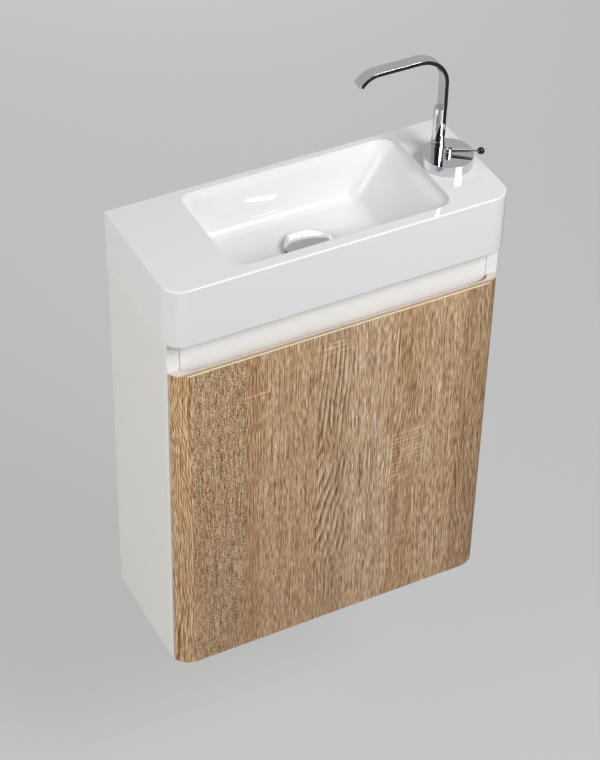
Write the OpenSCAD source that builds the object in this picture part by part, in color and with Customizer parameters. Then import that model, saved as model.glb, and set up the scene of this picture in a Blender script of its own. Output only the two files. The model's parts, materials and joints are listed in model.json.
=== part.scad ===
// Compact wall-hung vanity unit: ceramic basin with side tap, one-door cabinet and bottle trap.
// Millimetres. X to the right, front towards -Y, +Z up.
// Y = 0 is the wall. Z = 0 is the line of the cabinet's two wall screws, X = 0 is the middle.

/* [Basin] */
// Width of the basin
basin_w = 450; // [440:1:600]
// Depth of the basin from the wall
basin_d = 180; // [176:1:220]
// Height of the basin's outer skirt
basin_h = 82; // [80:1:110]
// Plan radius of the two front corners
basin_corner_r = 25; // [12:1:40]
// Thickness of the skirt
skirt_t = 9; // [7:0.5:10]
// Thickness of the deck around the bowl
deck_t = 11; // [8:0.5:14]
// Height of the basin's rim above the wall screws
rim_z = 140; // [135:1:160]

// Distance between the two bolt holes in the basin's back
basin_bolt_span = 360; // [340:5:380]
// Depth of those holes below the rim
basin_bolt_drop = 45; // [35:1:60]
// Diameter of those holes
basin_bolt_d = 12; // [10:0.5:14]

/* [Bowl] */
// Width of the ledge left of the bowl
bowl_left_ledge = 89.5; // [75:0.5:100]
// Width of the tap ledge right of the bowl
bowl_right_ledge = 72; // [71:0.5:85]
// Ledge in front of the bowl
bowl_front_ledge = 15; // [14:0.5:20]
// Ledge behind the bowl
bowl_back_ledge = 9; // [8:0.5:11]
// Depth of the bowl
bowl_depth = 68; // [60:0.5:70]
// Thickness of the bowl's walls and floor
bowl_t = 9; // [7:0.5:10]
// Plan radius of the rim's corners
bowl_rim_r = 20; // [16:1:24]
// Radius where the walls meet the floor
bowl_floor_r = 16; // [12:1:18]
// How far the right end wall slopes in on its way down
bowl_right_run = 48; // [35:1:52]
// How far the other walls lean in on their way down
bowl_lean = 8; // [5:0.5:9]

/* [Cabinet] */
// How far each side stands in from the basin's side
side_inset = 2; // [1:0.5:5]
// Height of the side panels
cabinet_h = 522.5; // [500:0.5:640]
// Thickness of the side panels
side_t = 18; // [16:1:19]
// Thickness of the rails, bottom and shelf
board_t = 16; // [15:1:18]
// Plan radius of the cabinet's front corners
cabinet_corner_r = 28; // [24:1:28]
// Height of the white rail under the basin
front_rail_h = 68; // [64:1:80]
// Height of the two rails against the wall
rear_rail_h = 70; // [60:1:80]
// Distance between the two wall screws
wall_screw_span = 300; // [250:5:340]
// Diameter of the wall screw holes
wall_screw_d = 8; // [6:0.5:10]
// Height of the shelf's top below the wall screws
shelf_drop = 244; // [220:1:280]

/* [Door] */
// Thickness of the door
door_t = 16; // [16:0.5:19]
// Gap between the cabinet's front edges and the door
door_gap = 1.5; // [1.4:0.1:2]
// Distance from the basin's underside to the door's top
door_top_drop = 43; // [38:0.5:48]
// How far the door hangs below the side panels
door_hang = 3; // [0:0.5:6]
// Depth of the finger scoop behind the door's top
scoop_depth = 24; // [18:1:28]
// Thickness of the lip in front of the scoop
lip_t = 7.4; // [6:0.1:8]
// Full-thickness length left at each end of the scoop
horn_w = 13; // [10:0.5:18]
// Radius of the scoop's ends
scoop_end_r = 19; // [16:0.5:20]
// Distance of each hinge from the door's top or bottom edge
hinge_margin = 80; // [60:5:110]

/* [Tap] */
// Distance of the tap's round base from the basin's right side
tap_from_side = 39.6; // [38:0.1:39.6]
// Distance of the tap's base from the wall
tap_y = 89.5; // [84:0.5:96]
// Diameter of the tap's base
base_d = 62.5; // [60:0.5:62.5]
// Height of the tap's base
base_h = 14; // [12:0.5:18]
// Diameter of the threaded shank
shank_d = 33; // [32:0.5:34]
// Diameter of the spout's round column
column_d = 15.5; // [15:0.1:16.5]
// Height of the column above the base
column_h = 52; // [40:1:60]
// Height of the spout above the deck
spout_h = 142.5; // [125:0.5:170]
// Reach of the spout from the column
spout_reach = 115.7; // [105:0.1:125]
// Thickness of the strap spout
strap_t = 5.2; // [4:0.1:5.4]
// Radius of the spout's bend, measured on its outside
bend_r = 41; // [30:1:42]
// Length of the lever to the centre of its knob
lever_len = 39; // [34:0.5:42]
// Direction of the lever, from +X
lever_turn = -33; // [-45:1:-20]
// Angle of the lever above level
lever_rise = 4; // [2:0.5:6]
// Diameter of the lever's knob
knob_d = 9; // [8:0.5:10]

/* [Waste] */
// Distance of the waste from the wall
waste_y = 90; // [86:0.5:94]
// Diameter of the waste's cap
cap_d = 61; // [56:0.5:64]
// Gap under the cap when it is open
cap_lift = 3.6; // [3:0.1:5]
// Outer diameter of the waste's threaded tail
tail_d = 41.9; // [40:0.1:42]
// Outer diameter of the trap's pipes
pipe_d = 32; // [30:1:33]
// Height of the outlet pipe below the wall screws
outlet_drop = 85; // [80:1:100]
// How far the outlet pipe reaches into the wall
outlet_stub = 30; // [15:1:60]

/* [Hidden] */
$fn = 64;

// Small values shared by several pieces
over = 1;             // how far a cut runs past a face
shaft_gap = 0.05;     // radial clearance of a turning or sliding fit
loose_gap = 0.3;      // clearance between pieces that move past each other
hull_fn = 32;

// Levels that follow from the driving sizes
bowl_left = basin_w / 2 - bowl_left_ledge;
bowl_right = basin_w / 2 - bowl_right_ledge;
tap_x = basin_w / 2 - tap_from_side;
basin_bottom = rim_z - basin_h;
bowl_floor = rim_z - bowl_depth;
side_bottom = basin_bottom - cabinet_h;
door_top = basin_bottom - door_top_drop;
door_bottom = side_bottom - door_hang;
door_h = door_top - door_bottom;
door_back = -(basin_d - door_t);
case_front = door_back + door_gap;
case_half = basin_w / 2 - side_inset;
inside_half = case_half - side_t;
shelf_top = -shelf_drop;
shelf_clear = 0.5;
shelf_set_back = 12;

// Wood dowels: positions in the plane of each side panel
dowel_d = 8;
dowel_len = 30;
dowel_in_side = 12;
dowel_from_edge = 14;
dowel_from_top = 18;
bottom_dowel_back = 40;
bottom_dowel_front = 50;
dowel_points = [
    [-bottom_dowel_back, side_bottom + board_t / 2],
    [-(basin_d - bottom_dowel_front), side_bottom + board_t / 2],
    [case_front + board_t / 2, basin_bottom - dowel_from_top],
    [case_front + board_t / 2, basin_bottom - front_rail_h + dowel_from_edge],
    [-board_t / 2, rear_rail_h / 2 - dowel_from_edge],
    [-board_t / 2, -rear_rail_h / 2 + dowel_from_edge],
    [-board_t / 2, side_bottom + board_t + rear_rail_h / 2]
];

// Shelf pins
pin_d = 5;
pin_in_side = 8;
pin_out = 8;
pin_from_back = 34;
pin_from_front = 54;
pin_ys = [-pin_from_back, -(basin_d - pin_from_front)];
pin_z = shelf_top - board_t - pin_d / 2;

// Hinges on the right: an arm on the side panel, a cranked link, and a cup let into the door.
// Plan points: the link turns on arm_pivot, passes the two bends and carries the door at cup_pivot.
hinge_levels = [door_bottom + hinge_margin, door_top - hinge_margin];
arm_pivot_in = 37;
arm_pivot_back = 5.8;
near_bend_in = 24.1;
near_bend_back = -0.1;
far_bend_in = 20.9;
far_bend_deep = 6.4;
cup_pivot_in = 12;
cup_pivot_deep = 3;
arm_pivot = [case_half - arm_pivot_in, case_front + arm_pivot_back];
link_bend_near = [case_half - near_bend_in, case_front + near_bend_back];
link_bend_far = [case_half - far_bend_in, door_back - far_bend_deep];
cup_pivot = [case_half - cup_pivot_in, door_back - cup_pivot_deep];
hinge_pin_r = 1.2;
link_r = 1.3;
link_half_h = 3;
arm_eye_r = 3;
cup_eye_r = 2.2;
ear_t = 2.3;
ear_low = link_half_h + loose_gap;
ear_high = ear_low + ear_t;
pocket_left_in = 28.2;
pocket_right_in = 7.8;
pocket_step_in = 13.8;
pocket_shallow_cut = 6.4;
pocket_deep_cut = 9.5;
pocket_left = case_half - pocket_left_in;
pocket_right = case_half - pocket_right_in;
pocket_step = case_half - pocket_step_in;
pocket_shallow = door_back - pocket_shallow_cut;
pocket_deep = door_back - pocket_deep_cut;
cup_floor_t = 0.8;
cup_flange_t = 1;
cup_flange_w = 15;
cup_flange_half_h = 14;
cup_screw_x = pocket_left - cup_flange_w / 2;
cup_screw_r = 1.5;
cup_screw_len = 9;
cup_screw_rise = 10;
arm_w = 22;
arm_set_back = 14;
arm_len = 34;
arm_near = case_front + arm_set_back;
arm_far = arm_near + arm_len;
arm_half_h = 7;
arm_plate_t = 2;
arm_plate_half_h = 21;
arm_screw_r = 1.75;
arm_screw_len = 12;
arm_screw_rise = 16;

// Catch on the left side panel
catch_left = -inside_half;
catch_screw_x = catch_left + 7;
catch_w = 14;
catch_d = 16;
catch_h = 44;
catch_below_scoop = 50;
catch_z = door_top - scoop_depth - catch_below_scoop;
catch_screw_gap = 28;
catch_screw_r = 1.6;
catch_screw_head = 1.6;
strike_t = 1.1;
strike_w = 12;
strike_h = 36;
buffer_d = 8;
buffer_t = door_gap - 0.25;
buffer_x = -(inside_half + side_t / 2 - 1);
buffer_levels = [door_top - 16, door_bottom + 24];

// Tap levels
tap_hole_d = shank_d + 2;
base_top = rim_z + base_h;
cavity_d = 25.4;
cartridge_d = 25;
cavity_roof = 4;
cavity_drop = 22;
cavity_top = base_top - cavity_roof;
cavity_bottom = rim_z - cavity_drop;
shank_len = 50;
shank_bottom = rim_z - shank_len;
port_r = 4.5;
port_gap = 13;
gasket_t = 1.2;
gasket_in = 1.5;
washer_r = 22;
rubber_t = 3;
clamp_t = 2;
fixing_nut_w = 38;
fixing_nut_h = 10;
column_from_side = 39.8;
column_x = basin_w / 2 - column_from_side;
column_y = tap_y - 23.6;
collar_h = 6;
collar_wall = 1;
column_foot = base_top + 0.2;
column_top = base_top + column_h;
spigot_r = 5;
spigot_len = 7;
socket_len = 9;
strap_w = column_d;
strap_face = 4.8;
strap_sink = 30;
droop_r = 31.4;
droop_angle = 56;
outlet_len = 2;
outlet_gap = 0.2;
channel_t = 2;
channel_w = 11;
channel_inset = (strap_t - channel_t) / 2;
set_screw_x = column_x + strap_face - strap_t / 2;
set_screw_z = column_top - 8;
set_screw_r = 1.5;
spout_top = rim_z + spout_h;
pivot_z = base_top + 4;
turret_d = 9;
turret_slot = 3.6;
stem_d = 6;
stem_len = 9;
eye_r = 2.4;
lever_pin_r = 1;

// Waste levels
flange_gasket_t = 0.8;
flange_t = 1.5;
flange_top = bowl_floor + flange_gasket_t + flange_t;
flange_d = cap_d - 1;
waste_hole_d = tail_d + 4;
tail_bore_d = tail_d - 5.9;
tail_len = 70;
tail_bottom = bowl_floor - tail_len;
bowl_underside = bowl_floor - bowl_t;
cap_under = flange_top + cap_lift;
cap_edge_t = 1.4;
cap_rise = 3.6;
cartridge_drop = 36;
cartridge_z = bowl_floor - cartridge_drop;
cap_stem_d = 6;
bridge_t = 4;
bridge_w = 8;
bridge_hub_r = 8;
bridge_hole_r = 5;
cartridge_r = 8;
cartridge_rise = 16;
cartridge_fall = 12;
cartridge_foot = 4;
cone_r = 28;
cone_h = 6;
back_nut_w = 54;
back_nut_h = 10;
seal_t = 2;
seal_gap = 1.5;
seal_w = 3.5;

// Trap levels
pipe_wall = 1.5;
trap_nut_lip = 6;
inlet_nut_r = 25;
inlet_nut_grip = 16;
gland_nut_r = 23;
boss_r = 19;
head_top_t = 4;
head_wall = 3;
outlet_nut_grip = 10;
outlet_nut_lip = 8;
cup_foot = 5;
cup_floor = 8;
cup_rim = 1;
trap_tube_top = tail_bottom - 2.5;
tube_collar_t = 2.5;
head_half_h = 27;
head_top = -outlet_drop + head_half_h;
head_bottom = -outlet_drop - head_half_h;
head_d = 58;
cup_d = 54;
cup_h = 68;
gland_h = 14;
dip_len = 36;
dip_bottom = head_bottom - dip_len;
outlet_boss_len = 14;
rose_d = 76;
rose_t = 10;
rose_step = 4;
rose_neck_r = pipe_d / 2 + 6;
pipe_fit = 0.2;
// Rolled mark on the outlet pipe that shows how deep it goes into the wall's socket
mark_w = 1;
mark_depth = 0.3;

// A post along Z
module post(x, y, low, high, r) {
    translate([x, y, low]) cylinder(r = r, h = high - low);
}

// A tube along Z
module tube(x, y, low, high, r_out, r_in) {
    difference() {
        post(x, y, low, high, r_out);
        post(x, y, low - over, high + over, r_in);
    }
}

// A bar along Y
module bar_y(x, z, back, front, r) {
    translate([x, back, z]) rotate([90, 0, 0]) cylinder(r = r, h = back - front);
}

// A bar along X
module bar_x(left, right, y, z, r) {
    translate([left, y, z]) rotate([0, 90, 0]) cylinder(r = r, h = right - left);
}

// A box given by its two corners
module block(low, high) {
    translate(low) cube(high - low);
}

// A six-sided nut along Z with a round hole
module hex_nut(x, y, low, high, across, r_in) {
    difference() {
        translate([x, y, low]) cylinder(d = across / cos(30), h = high - low, $fn = 6);
        post(x, y, low - over, high + over, r_in);
    }
}

// Plan outline against the wall, with both front corners rounded
module rounded_front(half, depth, r) {
    union() {
        translate([-half, -depth + r]) square([2 * half, depth - r]);
        translate([-half + r, -depth]) square([2 * (half - r), r + over]);
        for (side = [-1, 1]) translate([side * (half - r), -depth + r]) circle(r = r);
    }
}

// The cabinet's plan outline, which the door's front completes
module case_plan() {
    rounded_front(case_half, basin_d, cabinet_corner_r);
}

// Bowl form between the levels low and top at the rim and the floor below.
// grow = 0 is the hollow, grow = bowl_t the outside of its wall.
module bowl_form(grow, low, top) {
    rim_r = bowl_rim_r + grow;
    floor_r = bowl_floor_r + grow;
    rim_x = [-bowl_left - grow + rim_r, bowl_right + grow - rim_r];
    rim_y = [-basin_d + bowl_front_ledge - grow + rim_r, -bowl_back_ledge + grow - rim_r];
    low_x = [-bowl_left + bowl_lean - grow + floor_r, bowl_right - bowl_right_run + grow - floor_r];
    low_y = [rim_y[0] - rim_r + bowl_lean + floor_r, rim_y[1] + rim_r - bowl_lean - floor_r];
    hull() {
        for (x = rim_x, y = rim_y) post(x, y, low, top, rim_r, $fn = hull_fn);
        for (x = low_x, y = low_y)
            translate([x, y, bowl_floor - grow + floor_r]) sphere(r = floor_r, $fn = hull_fn);
    }
}

module basin() {
    color("whitesmoke") difference() {
        union() {
            difference() {
                translate([0, 0, basin_bottom]) linear_extrude(basin_h)
                    rounded_front(basin_w / 2, basin_d, basin_corner_r);
                translate([0, -skirt_t, basin_bottom - over]) linear_extrude(basin_h - deck_t + over)
                    rounded_front(basin_w / 2 - skirt_t, basin_d - 2 * skirt_t, basin_corner_r - skirt_t);
            }
            intersection() {
                bowl_form(bowl_t, rim_z - deck_t / 2 - 2, rim_z - deck_t / 2);
                block([-basin_w / 2, -basin_d + 2, basin_bottom - over], [basin_w / 2, -2, rim_z]);
            }
        }
        bowl_form(0, rim_z - over, rim_z + over);
        post(tap_x, -tap_y, rim_z - deck_t - over, rim_z + over, tap_hole_d / 2);
        post(0, -waste_y, basin_bottom - over, bowl_floor + over, waste_hole_d / 2);
        post(0, -waste_y, bowl_floor, bowl_floor + over, flange_d / 2 + over);
        for (side = [-1, 1])
            bar_y(side * basin_bolt_span / 2, rim_z - basin_bolt_drop, over, -skirt_t - over, basin_bolt_d / 2);
    }
}

// Holes in a side panel for dowels and shelf pins; side is -1 for the left panel, 1 for the right
module side_holes(side) {
    inner = side * inside_half;
    for (p = dowel_points)
        bar_x(min(inner - side, inner + side * dowel_in_side), max(inner - side, inner + side * dowel_in_side),
            p[0], p[1], dowel_d / 2);
    for (y = pin_ys)
        bar_x(min(inner - side, inner + side * pin_in_side), max(inner - side, inner + side * pin_in_side),
            y, pin_z, pin_d / 2);
}

// One side panel with its dowel and pin holes
module side_panel(side) {
    difference() {
        translate([0, 0, side_bottom]) linear_extrude(cabinet_h) intersection() {
            case_plan();
            translate([side > 0 ? inside_half : -case_half - over, case_front])
                square([side_t + over, -case_front]);
        }
        side_holes(side);
    }
}

module side_panel_left() {
    color("ghostwhite") side_panel(-1);
}

module side_panel_right() {
    color("ghostwhite") difference() {
        side_panel(1);
        for (z = hinge_levels, rise = [-1, 1])
            bar_x(inside_half - over, inside_half + arm_screw_len, (arm_near + arm_far) / 2,
                z + rise * arm_screw_rise, arm_screw_r);
    }
}

// Dowel holes in the ends of a board that runs between the sides, for the dowel points listed
module end_holes(points) {
    for (side = [-1, 1], p = points)
        bar_x(side * inside_half - (dowel_len - dowel_in_side), side * inside_half + (dowel_len - dowel_in_side),
            p[0], p[1], dowel_d / 2);
}

module bottom_panel() {
    color("ghostwhite") difference() {
        block([-inside_half, case_front, side_bottom], [inside_half, 0, side_bottom + board_t]);
        end_holes([dowel_points[0], dowel_points[1]]);
    }
}

module front_rail() {
    color("seashell") difference() {
        block([-inside_half, case_front, basin_bottom - front_rail_h],
            [inside_half, case_front + board_t, basin_bottom]);
        end_holes([dowel_points[2], dowel_points[3]]);
    }
}

module rear_top_rail() {
    color("ghostwhite") difference() {
        block([-inside_half, -board_t, -rear_rail_h / 2], [inside_half, 0, rear_rail_h / 2]);
        end_holes([dowel_points[4], dowel_points[5]]);
        for (side = [-1, 1])
            bar_y(side * wall_screw_span / 2, 0, over, -board_t - over, wall_screw_d / 2);
    }
}

module rear_bottom_rail() {
    color("ghostwhite") difference() {
        block([-inside_half, -board_t, side_bottom + board_t],
            [inside_half, 0, side_bottom + board_t + rear_rail_h]);
        end_holes([dowel_points[6]]);
    }
}

module inner_shelf() {
    color("ghostwhite")
        block([-inside_half + shelf_clear, case_front + shelf_set_back, shelf_top - board_t],
            [inside_half - shelf_clear, -board_t - 1, shelf_top]);
}

module shelf_pins() {
    color("silver") for (side = [-1, 1], y = pin_ys)
        translate([side * inside_half, y, pin_z]) rotate([0, side * 90, 0])
            translate([0, 0, -pin_out]) cylinder(d = pin_d, h = pin_out + pin_in_side);
}

module panel_dowels() {
    color("burlywood") for (side = [-1, 1], p = dowel_points)
        translate([side * inside_half, p[0], p[1]]) rotate([0, side * 90, 0])
            translate([0, 0, -(dowel_len - dowel_in_side)]) cylinder(d = dowel_d, h = dowel_len);
}

// Plan of the finger scoop, open to the back
module scoop_plan() {
    lip_inside = -basin_d + lip_t;
    straight_half = case_half - horn_w - scoop_end_r;
    translate([-straight_half, lip_inside]) square([2 * straight_half, scoop_end_r * 2]);
    for (side = [-1, 1]) translate([side * straight_half, lip_inside + scoop_end_r]) circle(r = scoop_end_r);
}

module door_panel() {
    color("tan") difference() {
        translate([0, 0, door_bottom]) linear_extrude(door_h) intersection() {
            case_plan();
            translate([-case_half - over, -basin_d - over]) square([2 * (case_half + over), door_t + over]);
        }
        translate([0, 0, door_top - scoop_depth]) linear_extrude(scoop_depth + over) scoop_plan();
        for (z = hinge_levels) {
            translate([0, 0, z]) linear_extrude(2 * ear_high, center = true) cup_plan(0);
            for (rise = [-1, 1])
                bar_y(cup_screw_x, z + rise * cup_screw_rise, door_back + over, door_back - cup_screw_len,
                    cup_screw_r);
        }
    }
}

module door_buffers() {
    color("gainsboro") for (z = buffer_levels)
        bar_y(buffer_x, z, case_front, case_front - buffer_t, buffer_d / 2);
}

// Plan of the pocket that takes a hinge cup; floor_t is what the cup's floor takes from it
module cup_plan(floor_t) {
    translate([pocket_left, pocket_shallow + floor_t])
        square([pocket_right - pocket_left, door_back - pocket_shallow - floor_t]);
    translate([pocket_left, pocket_deep + floor_t])
        square([pocket_step - pocket_left, door_back - pocket_deep - floor_t]);
}

module hinge_cups() {
    color("silver") for (z = hinge_levels) difference() {
        union() {
            translate([0, 0, z]) linear_extrude(2 * ear_high, center = true) cup_plan(0);
            block([pocket_left - cup_flange_w, door_back, z - cup_flange_half_h],
                [pocket_left + 2, door_back + cup_flange_t, z + cup_flange_half_h]);
        }
        for (rise = [0, over])
            translate([over, rise, z]) linear_extrude(2 * ear_low, center = true) cup_plan(cup_floor_t);
        post(cup_pivot[0], cup_pivot[1], z - ear_high - over, z + ear_high + over, hinge_pin_r);
        for (rise = [-1, 1])
            bar_y(cup_screw_x, z + rise * cup_screw_rise, door_back + cup_flange_t + over, door_back - over,
                cup_screw_r);
    }
}

module hinge_cup_pins() {
    color("gray") for (z = hinge_levels)
        post(cup_pivot[0], cup_pivot[1], z - ear_high, z + ear_high, hinge_pin_r);
}

module hinge_cup_screws() {
    color("silver") for (z = hinge_levels, rise = [-1, 1])
        bar_y(cup_screw_x, z + rise * cup_screw_rise, door_back + cup_flange_t, door_back - cup_screw_len,
            cup_screw_r);
}

// Helpers for the link's plan: a unit vector, its left normal, and the two kinds of outline corner
function unit(v) = v / norm(v);
function left_of(v) = [-v[1], v[0]];
function beside(point, from, to, w) = point + w * left_of(unit(to - from));
function mitre(from, bend, to, w) =
    let (first = left_of(unit(bend - from)), m = unit(first + left_of(unit(to - bend))))
    bend + m * w / (m * first);

// Cranked bar of the link in plan
module link_plan() {
    polygon([
        beside(arm_pivot, arm_pivot, link_bend_near, link_r),
        mitre(arm_pivot, link_bend_near, link_bend_far, link_r),
        mitre(link_bend_near, link_bend_far, cup_pivot, link_r),
        beside(cup_pivot, link_bend_far, cup_pivot, link_r),
        beside(cup_pivot, link_bend_far, cup_pivot, -link_r),
        mitre(link_bend_near, link_bend_far, cup_pivot, -link_r),
        mitre(arm_pivot, link_bend_near, link_bend_far, -link_r),
        beside(arm_pivot, arm_pivot, link_bend_near, -link_r)
    ]);
}

module hinge_links() {
    color("silver") for (z = hinge_levels) translate([0, 0, z]) difference() {
        union() {
            translate([0, 0, -link_half_h + 0.2]) linear_extrude(2 * link_half_h - 0.4) link_plan();
            post(arm_pivot[0], arm_pivot[1], -link_half_h, link_half_h, arm_eye_r);
            post(cup_pivot[0], cup_pivot[1], -link_half_h, link_half_h, cup_eye_r);
        }
        for (pivot = [arm_pivot, cup_pivot])
            post(pivot[0], pivot[1], -link_half_h - over, link_half_h + over, hinge_pin_r + shaft_gap);
    }
}

module hinge_arms() {
    ear_r = arm_eye_r + 0.4;
    color("silver") for (z = hinge_levels) difference() {
        union() {
            block([inside_half - arm_plate_t, arm_near, z - arm_plate_half_h],
                [inside_half, arm_far, z + arm_plate_half_h]);
            block([inside_half - arm_w, arm_near, z - arm_half_h], [inside_half, arm_far, z + arm_half_h]);
            for (side = [-1, 1]) translate([0, 0, z + side * (ear_low + ear_high) / 2]) {
                translate([arm_pivot[0] - ear_r, arm_pivot[1], -ear_t / 2])
                    cube([2 * ear_r, arm_near - arm_pivot[1] + over, ear_t]);
                translate([arm_pivot[0], arm_pivot[1], -ear_t / 2]) cylinder(r = ear_r, h = ear_t);
            }
        }
        post(arm_pivot[0], arm_pivot[1], z - ear_high - over, z + ear_high + over, hinge_pin_r);
        for (rise = [-1, 1])
            bar_x(inside_half - arm_plate_t - over, inside_half + over, (arm_near + arm_far) / 2,
                z + rise * arm_screw_rise, arm_screw_r);
    }
}

module hinge_arm_pins() {
    color("gray") for (z = hinge_levels)
        post(arm_pivot[0], arm_pivot[1], z - ear_high, z + ear_high, hinge_pin_r);
}

module hinge_arm_screws() {
    color("silver") for (z = hinge_levels, rise = [-1, 1]) {
        bar_x(inside_half - arm_plate_t, inside_half + arm_screw_len, (arm_near + arm_far) / 2,
            z + rise * arm_screw_rise, arm_screw_r);
        bar_x(inside_half - arm_plate_t - 1.4, inside_half - arm_plate_t, (arm_near + arm_far) / 2,
            z + rise * arm_screw_rise, 2 * arm_screw_r);
    }
}

module magnetic_catch() {
    color("white") difference() {
        block([catch_left, case_front, catch_z - catch_h / 2],
            [catch_left + catch_w, case_front + catch_d, catch_z + catch_h / 2]);
        for (side = [-1, 1])
            bar_x(catch_left - over, catch_left + catch_w + over, case_front + catch_d / 2,
                catch_z + side * catch_screw_gap / 2, catch_screw_r);
    }
}

module catch_screws() {
    color("silver") for (side = [-1, 1]) {
        bar_x(catch_left, catch_left + catch_w + catch_screw_head / 2, case_front + catch_d / 2,
            catch_z + side * catch_screw_gap / 2, catch_screw_r);
        bar_x(catch_left + catch_w, catch_left + catch_w + catch_screw_head, case_front + catch_d / 2,
            catch_z + side * catch_screw_gap / 2, 2 * catch_screw_r);
    }
}

module strike_plate() {
    color("silver") difference() {
        block([catch_screw_x - strike_w / 2, door_back, catch_z - strike_h / 2],
            [catch_screw_x + strike_w / 2, door_back + strike_t, catch_z + strike_h / 2]);
        bar_y(catch_screw_x, catch_z, door_back + strike_t + over, door_back - over, catch_screw_r);
    }
}

module strike_screw() {
    color("gray") bar_y(catch_screw_x, catch_z, door_back + strike_t, door_back, catch_screw_r);
}

module tap_body() {
    color("silver") difference() {
        union() {
            post(tap_x, -tap_y, rim_z, base_top, base_d / 2);
            post(tap_x, -tap_y, shank_bottom, rim_z + over, shank_d / 2);
        }
        tube(tap_x, -tap_y, rim_z - over, rim_z + gasket_t, base_d / 2 - gasket_in, shank_d / 2 + gasket_in);
        post(tap_x, -tap_y, cavity_bottom, cavity_top, cavity_d / 2);
        post(tap_x, -tap_y, cavity_top - over, base_top + over, stem_d / 2 + shaft_gap);
        for (side = [-1, 1])
            post(tap_x + side * port_gap / 2, -tap_y, shank_bottom - over, cavity_bottom + over, port_r);
        post(column_x, -column_y, base_top - socket_len, base_top + over, spigot_r + shaft_gap);
        duct_z = base_top - 7;
        translate([tap_x, -tap_y, duct_z]) rotate([0, 0, atan2(tap_y - column_y, column_x - tap_x)])
            rotate([0, 90, 0]) cylinder(r = 2, h = tap_y - column_y);
    }
}

module tap_gasket() {
    color("dimgray") tube(tap_x, -tap_y, rim_z, rim_z + gasket_t, base_d / 2 - gasket_in, shank_d / 2 + gasket_in);
}

module tap_rubber_washer() {
    top = rim_z - deck_t;
    color("dimgray") tube(tap_x, -tap_y, top - rubber_t, top, washer_r, shank_d / 2);
}

module tap_clamp_washer() {
    top = rim_z - deck_t - rubber_t;
    color("silver") tube(tap_x, -tap_y, top - clamp_t, top, washer_r, shank_d / 2);
}

module tap_fixing_nut() {
    top = rim_z - deck_t - rubber_t - clamp_t;
    color("darkgoldenrod") hex_nut(tap_x, -tap_y, top - fixing_nut_h, top, fixing_nut_w, shank_d / 2);
}

module control_cartridge() {
    color("white") difference() {
        post(tap_x, -tap_y, cavity_bottom, cavity_top, cartridge_d / 2);
        post(tap_x, -tap_y, cavity_top - stem_len + 3, cavity_top + over, stem_d / 2 + shaft_gap);
        for (side = [-1, 1])
            post(tap_x + side * port_gap / 2, -tap_y, cavity_bottom - over, cavity_bottom + 6, 2.5);
    }
}

// Moves a lever piece from the +X axis through the pivot to its own direction
module at_lever() {
    translate([tap_x, -tap_y, pivot_z]) rotate([0, 0, lever_turn]) children();
}

module lever_turret() {
    color("silver") difference() {
        union() {
            post(tap_x, -tap_y, base_top + loose_gap, pivot_z + eye_r + 0.6, turret_d / 2);
            post(tap_x, -tap_y, base_top - stem_len, base_top + loose_gap + 0.1, stem_d / 2);
        }
        at_lever() translate([-turret_d / 2 - over, -turret_slot / 2, -eye_r - loose_gap])
            cube([turret_d + 2 * over, turret_slot, 2 * eye_r + 3]);
        at_lever() rotate([90, 0, 0]) cylinder(r = lever_pin_r, h = turret_d + 2 * over, center = true);
    }
}

module lever_pin() {
    color("gray") at_lever() rotate([90, 0, 0])
        cylinder(r = lever_pin_r, h = turret_d - 1.2, center = true);
}

module lever_rod() {
    root = turret_d / 2 + 0.6;
    eye_w = turret_slot - 2 * loose_gap;
    color("silver") at_lever() rotate([0, -lever_rise, 0]) difference() {
        union() {
            rotate([90, 0, 0]) cylinder(r = eye_r, h = eye_w, center = true);
            translate([0, -eye_w / 2, -1.4]) cube([root + over, eye_w, 2.8]);
            translate([root, 0, 0]) rotate([0, 90, 0])
                cylinder(r1 = 2.8, r2 = 2.1, h = lever_len - root - knob_d / 2 + 0.6);
        }
        rotate([90, 0, 0]) cylinder(r = lever_pin_r + shaft_gap, h = eye_w + 2 * over, center = true);
        translate([lever_len, 0, 0]) sphere(d = knob_d);
    }
}

module lever_knob() {
    color("black") at_lever() rotate([0, -lever_rise, 0]) translate([lever_len, 0, 0]) sphere(d = knob_d);
}

module column_collar() {
    color("silver") tube(column_x, -column_y, base_top, base_top + collar_h,
        column_d / 2 + collar_wall, column_d / 2 + shaft_gap);
}

// Outline of the strap spout in its own plane: x to the right, y up, grown inwards by inset
module strap_outline(inset) {
    out_r = bend_r - inset;
    in_r = bend_r - strap_t + inset;
    droop_out = droop_r - inset;
    droop_in = droop_r - strap_t + inset;
    bend_x = column_x + strap_face - bend_r;
    bend_z = spout_top - bend_r;
    level_end = column_x - spout_reach + droop_r * sin(droop_angle);
    droop_z = spout_top - droop_r;
    end_over = inset > 0 ? 4 : 0;
    foot = column_top - strap_sink - (inset > 0 ? 1 : 0);
    steps = 16;
    polygon(concat(
        [[bend_x + out_r, foot]],
        [for (k = [0:steps]) [bend_x + out_r * cos(90 * k / steps), bend_z + out_r * sin(90 * k / steps)]],
        [for (k = [0:steps]) [level_end - droop_out * sin((droop_angle + end_over) * k / steps),
            droop_z + droop_out * cos((droop_angle + end_over) * k / steps)]],
        [for (k = [steps:-1:0]) [level_end - droop_in * sin((droop_angle + end_over) * k / steps),
            droop_z + droop_in * cos((droop_angle + end_over) * k / steps)]],
        [for (k = [steps:-1:0]) [bend_x + in_r * cos(90 * k / steps), bend_z + in_r * sin(90 * k / steps)]],
        [[bend_x + in_r, foot]]
    ));
}

// Solid or channel of the strap, w wide
module strap(w, inset) {
    translate([0, -column_y + w / 2, 0]) rotate([90, 0, 0]) linear_extrude(w) strap_outline(inset);
}

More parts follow.
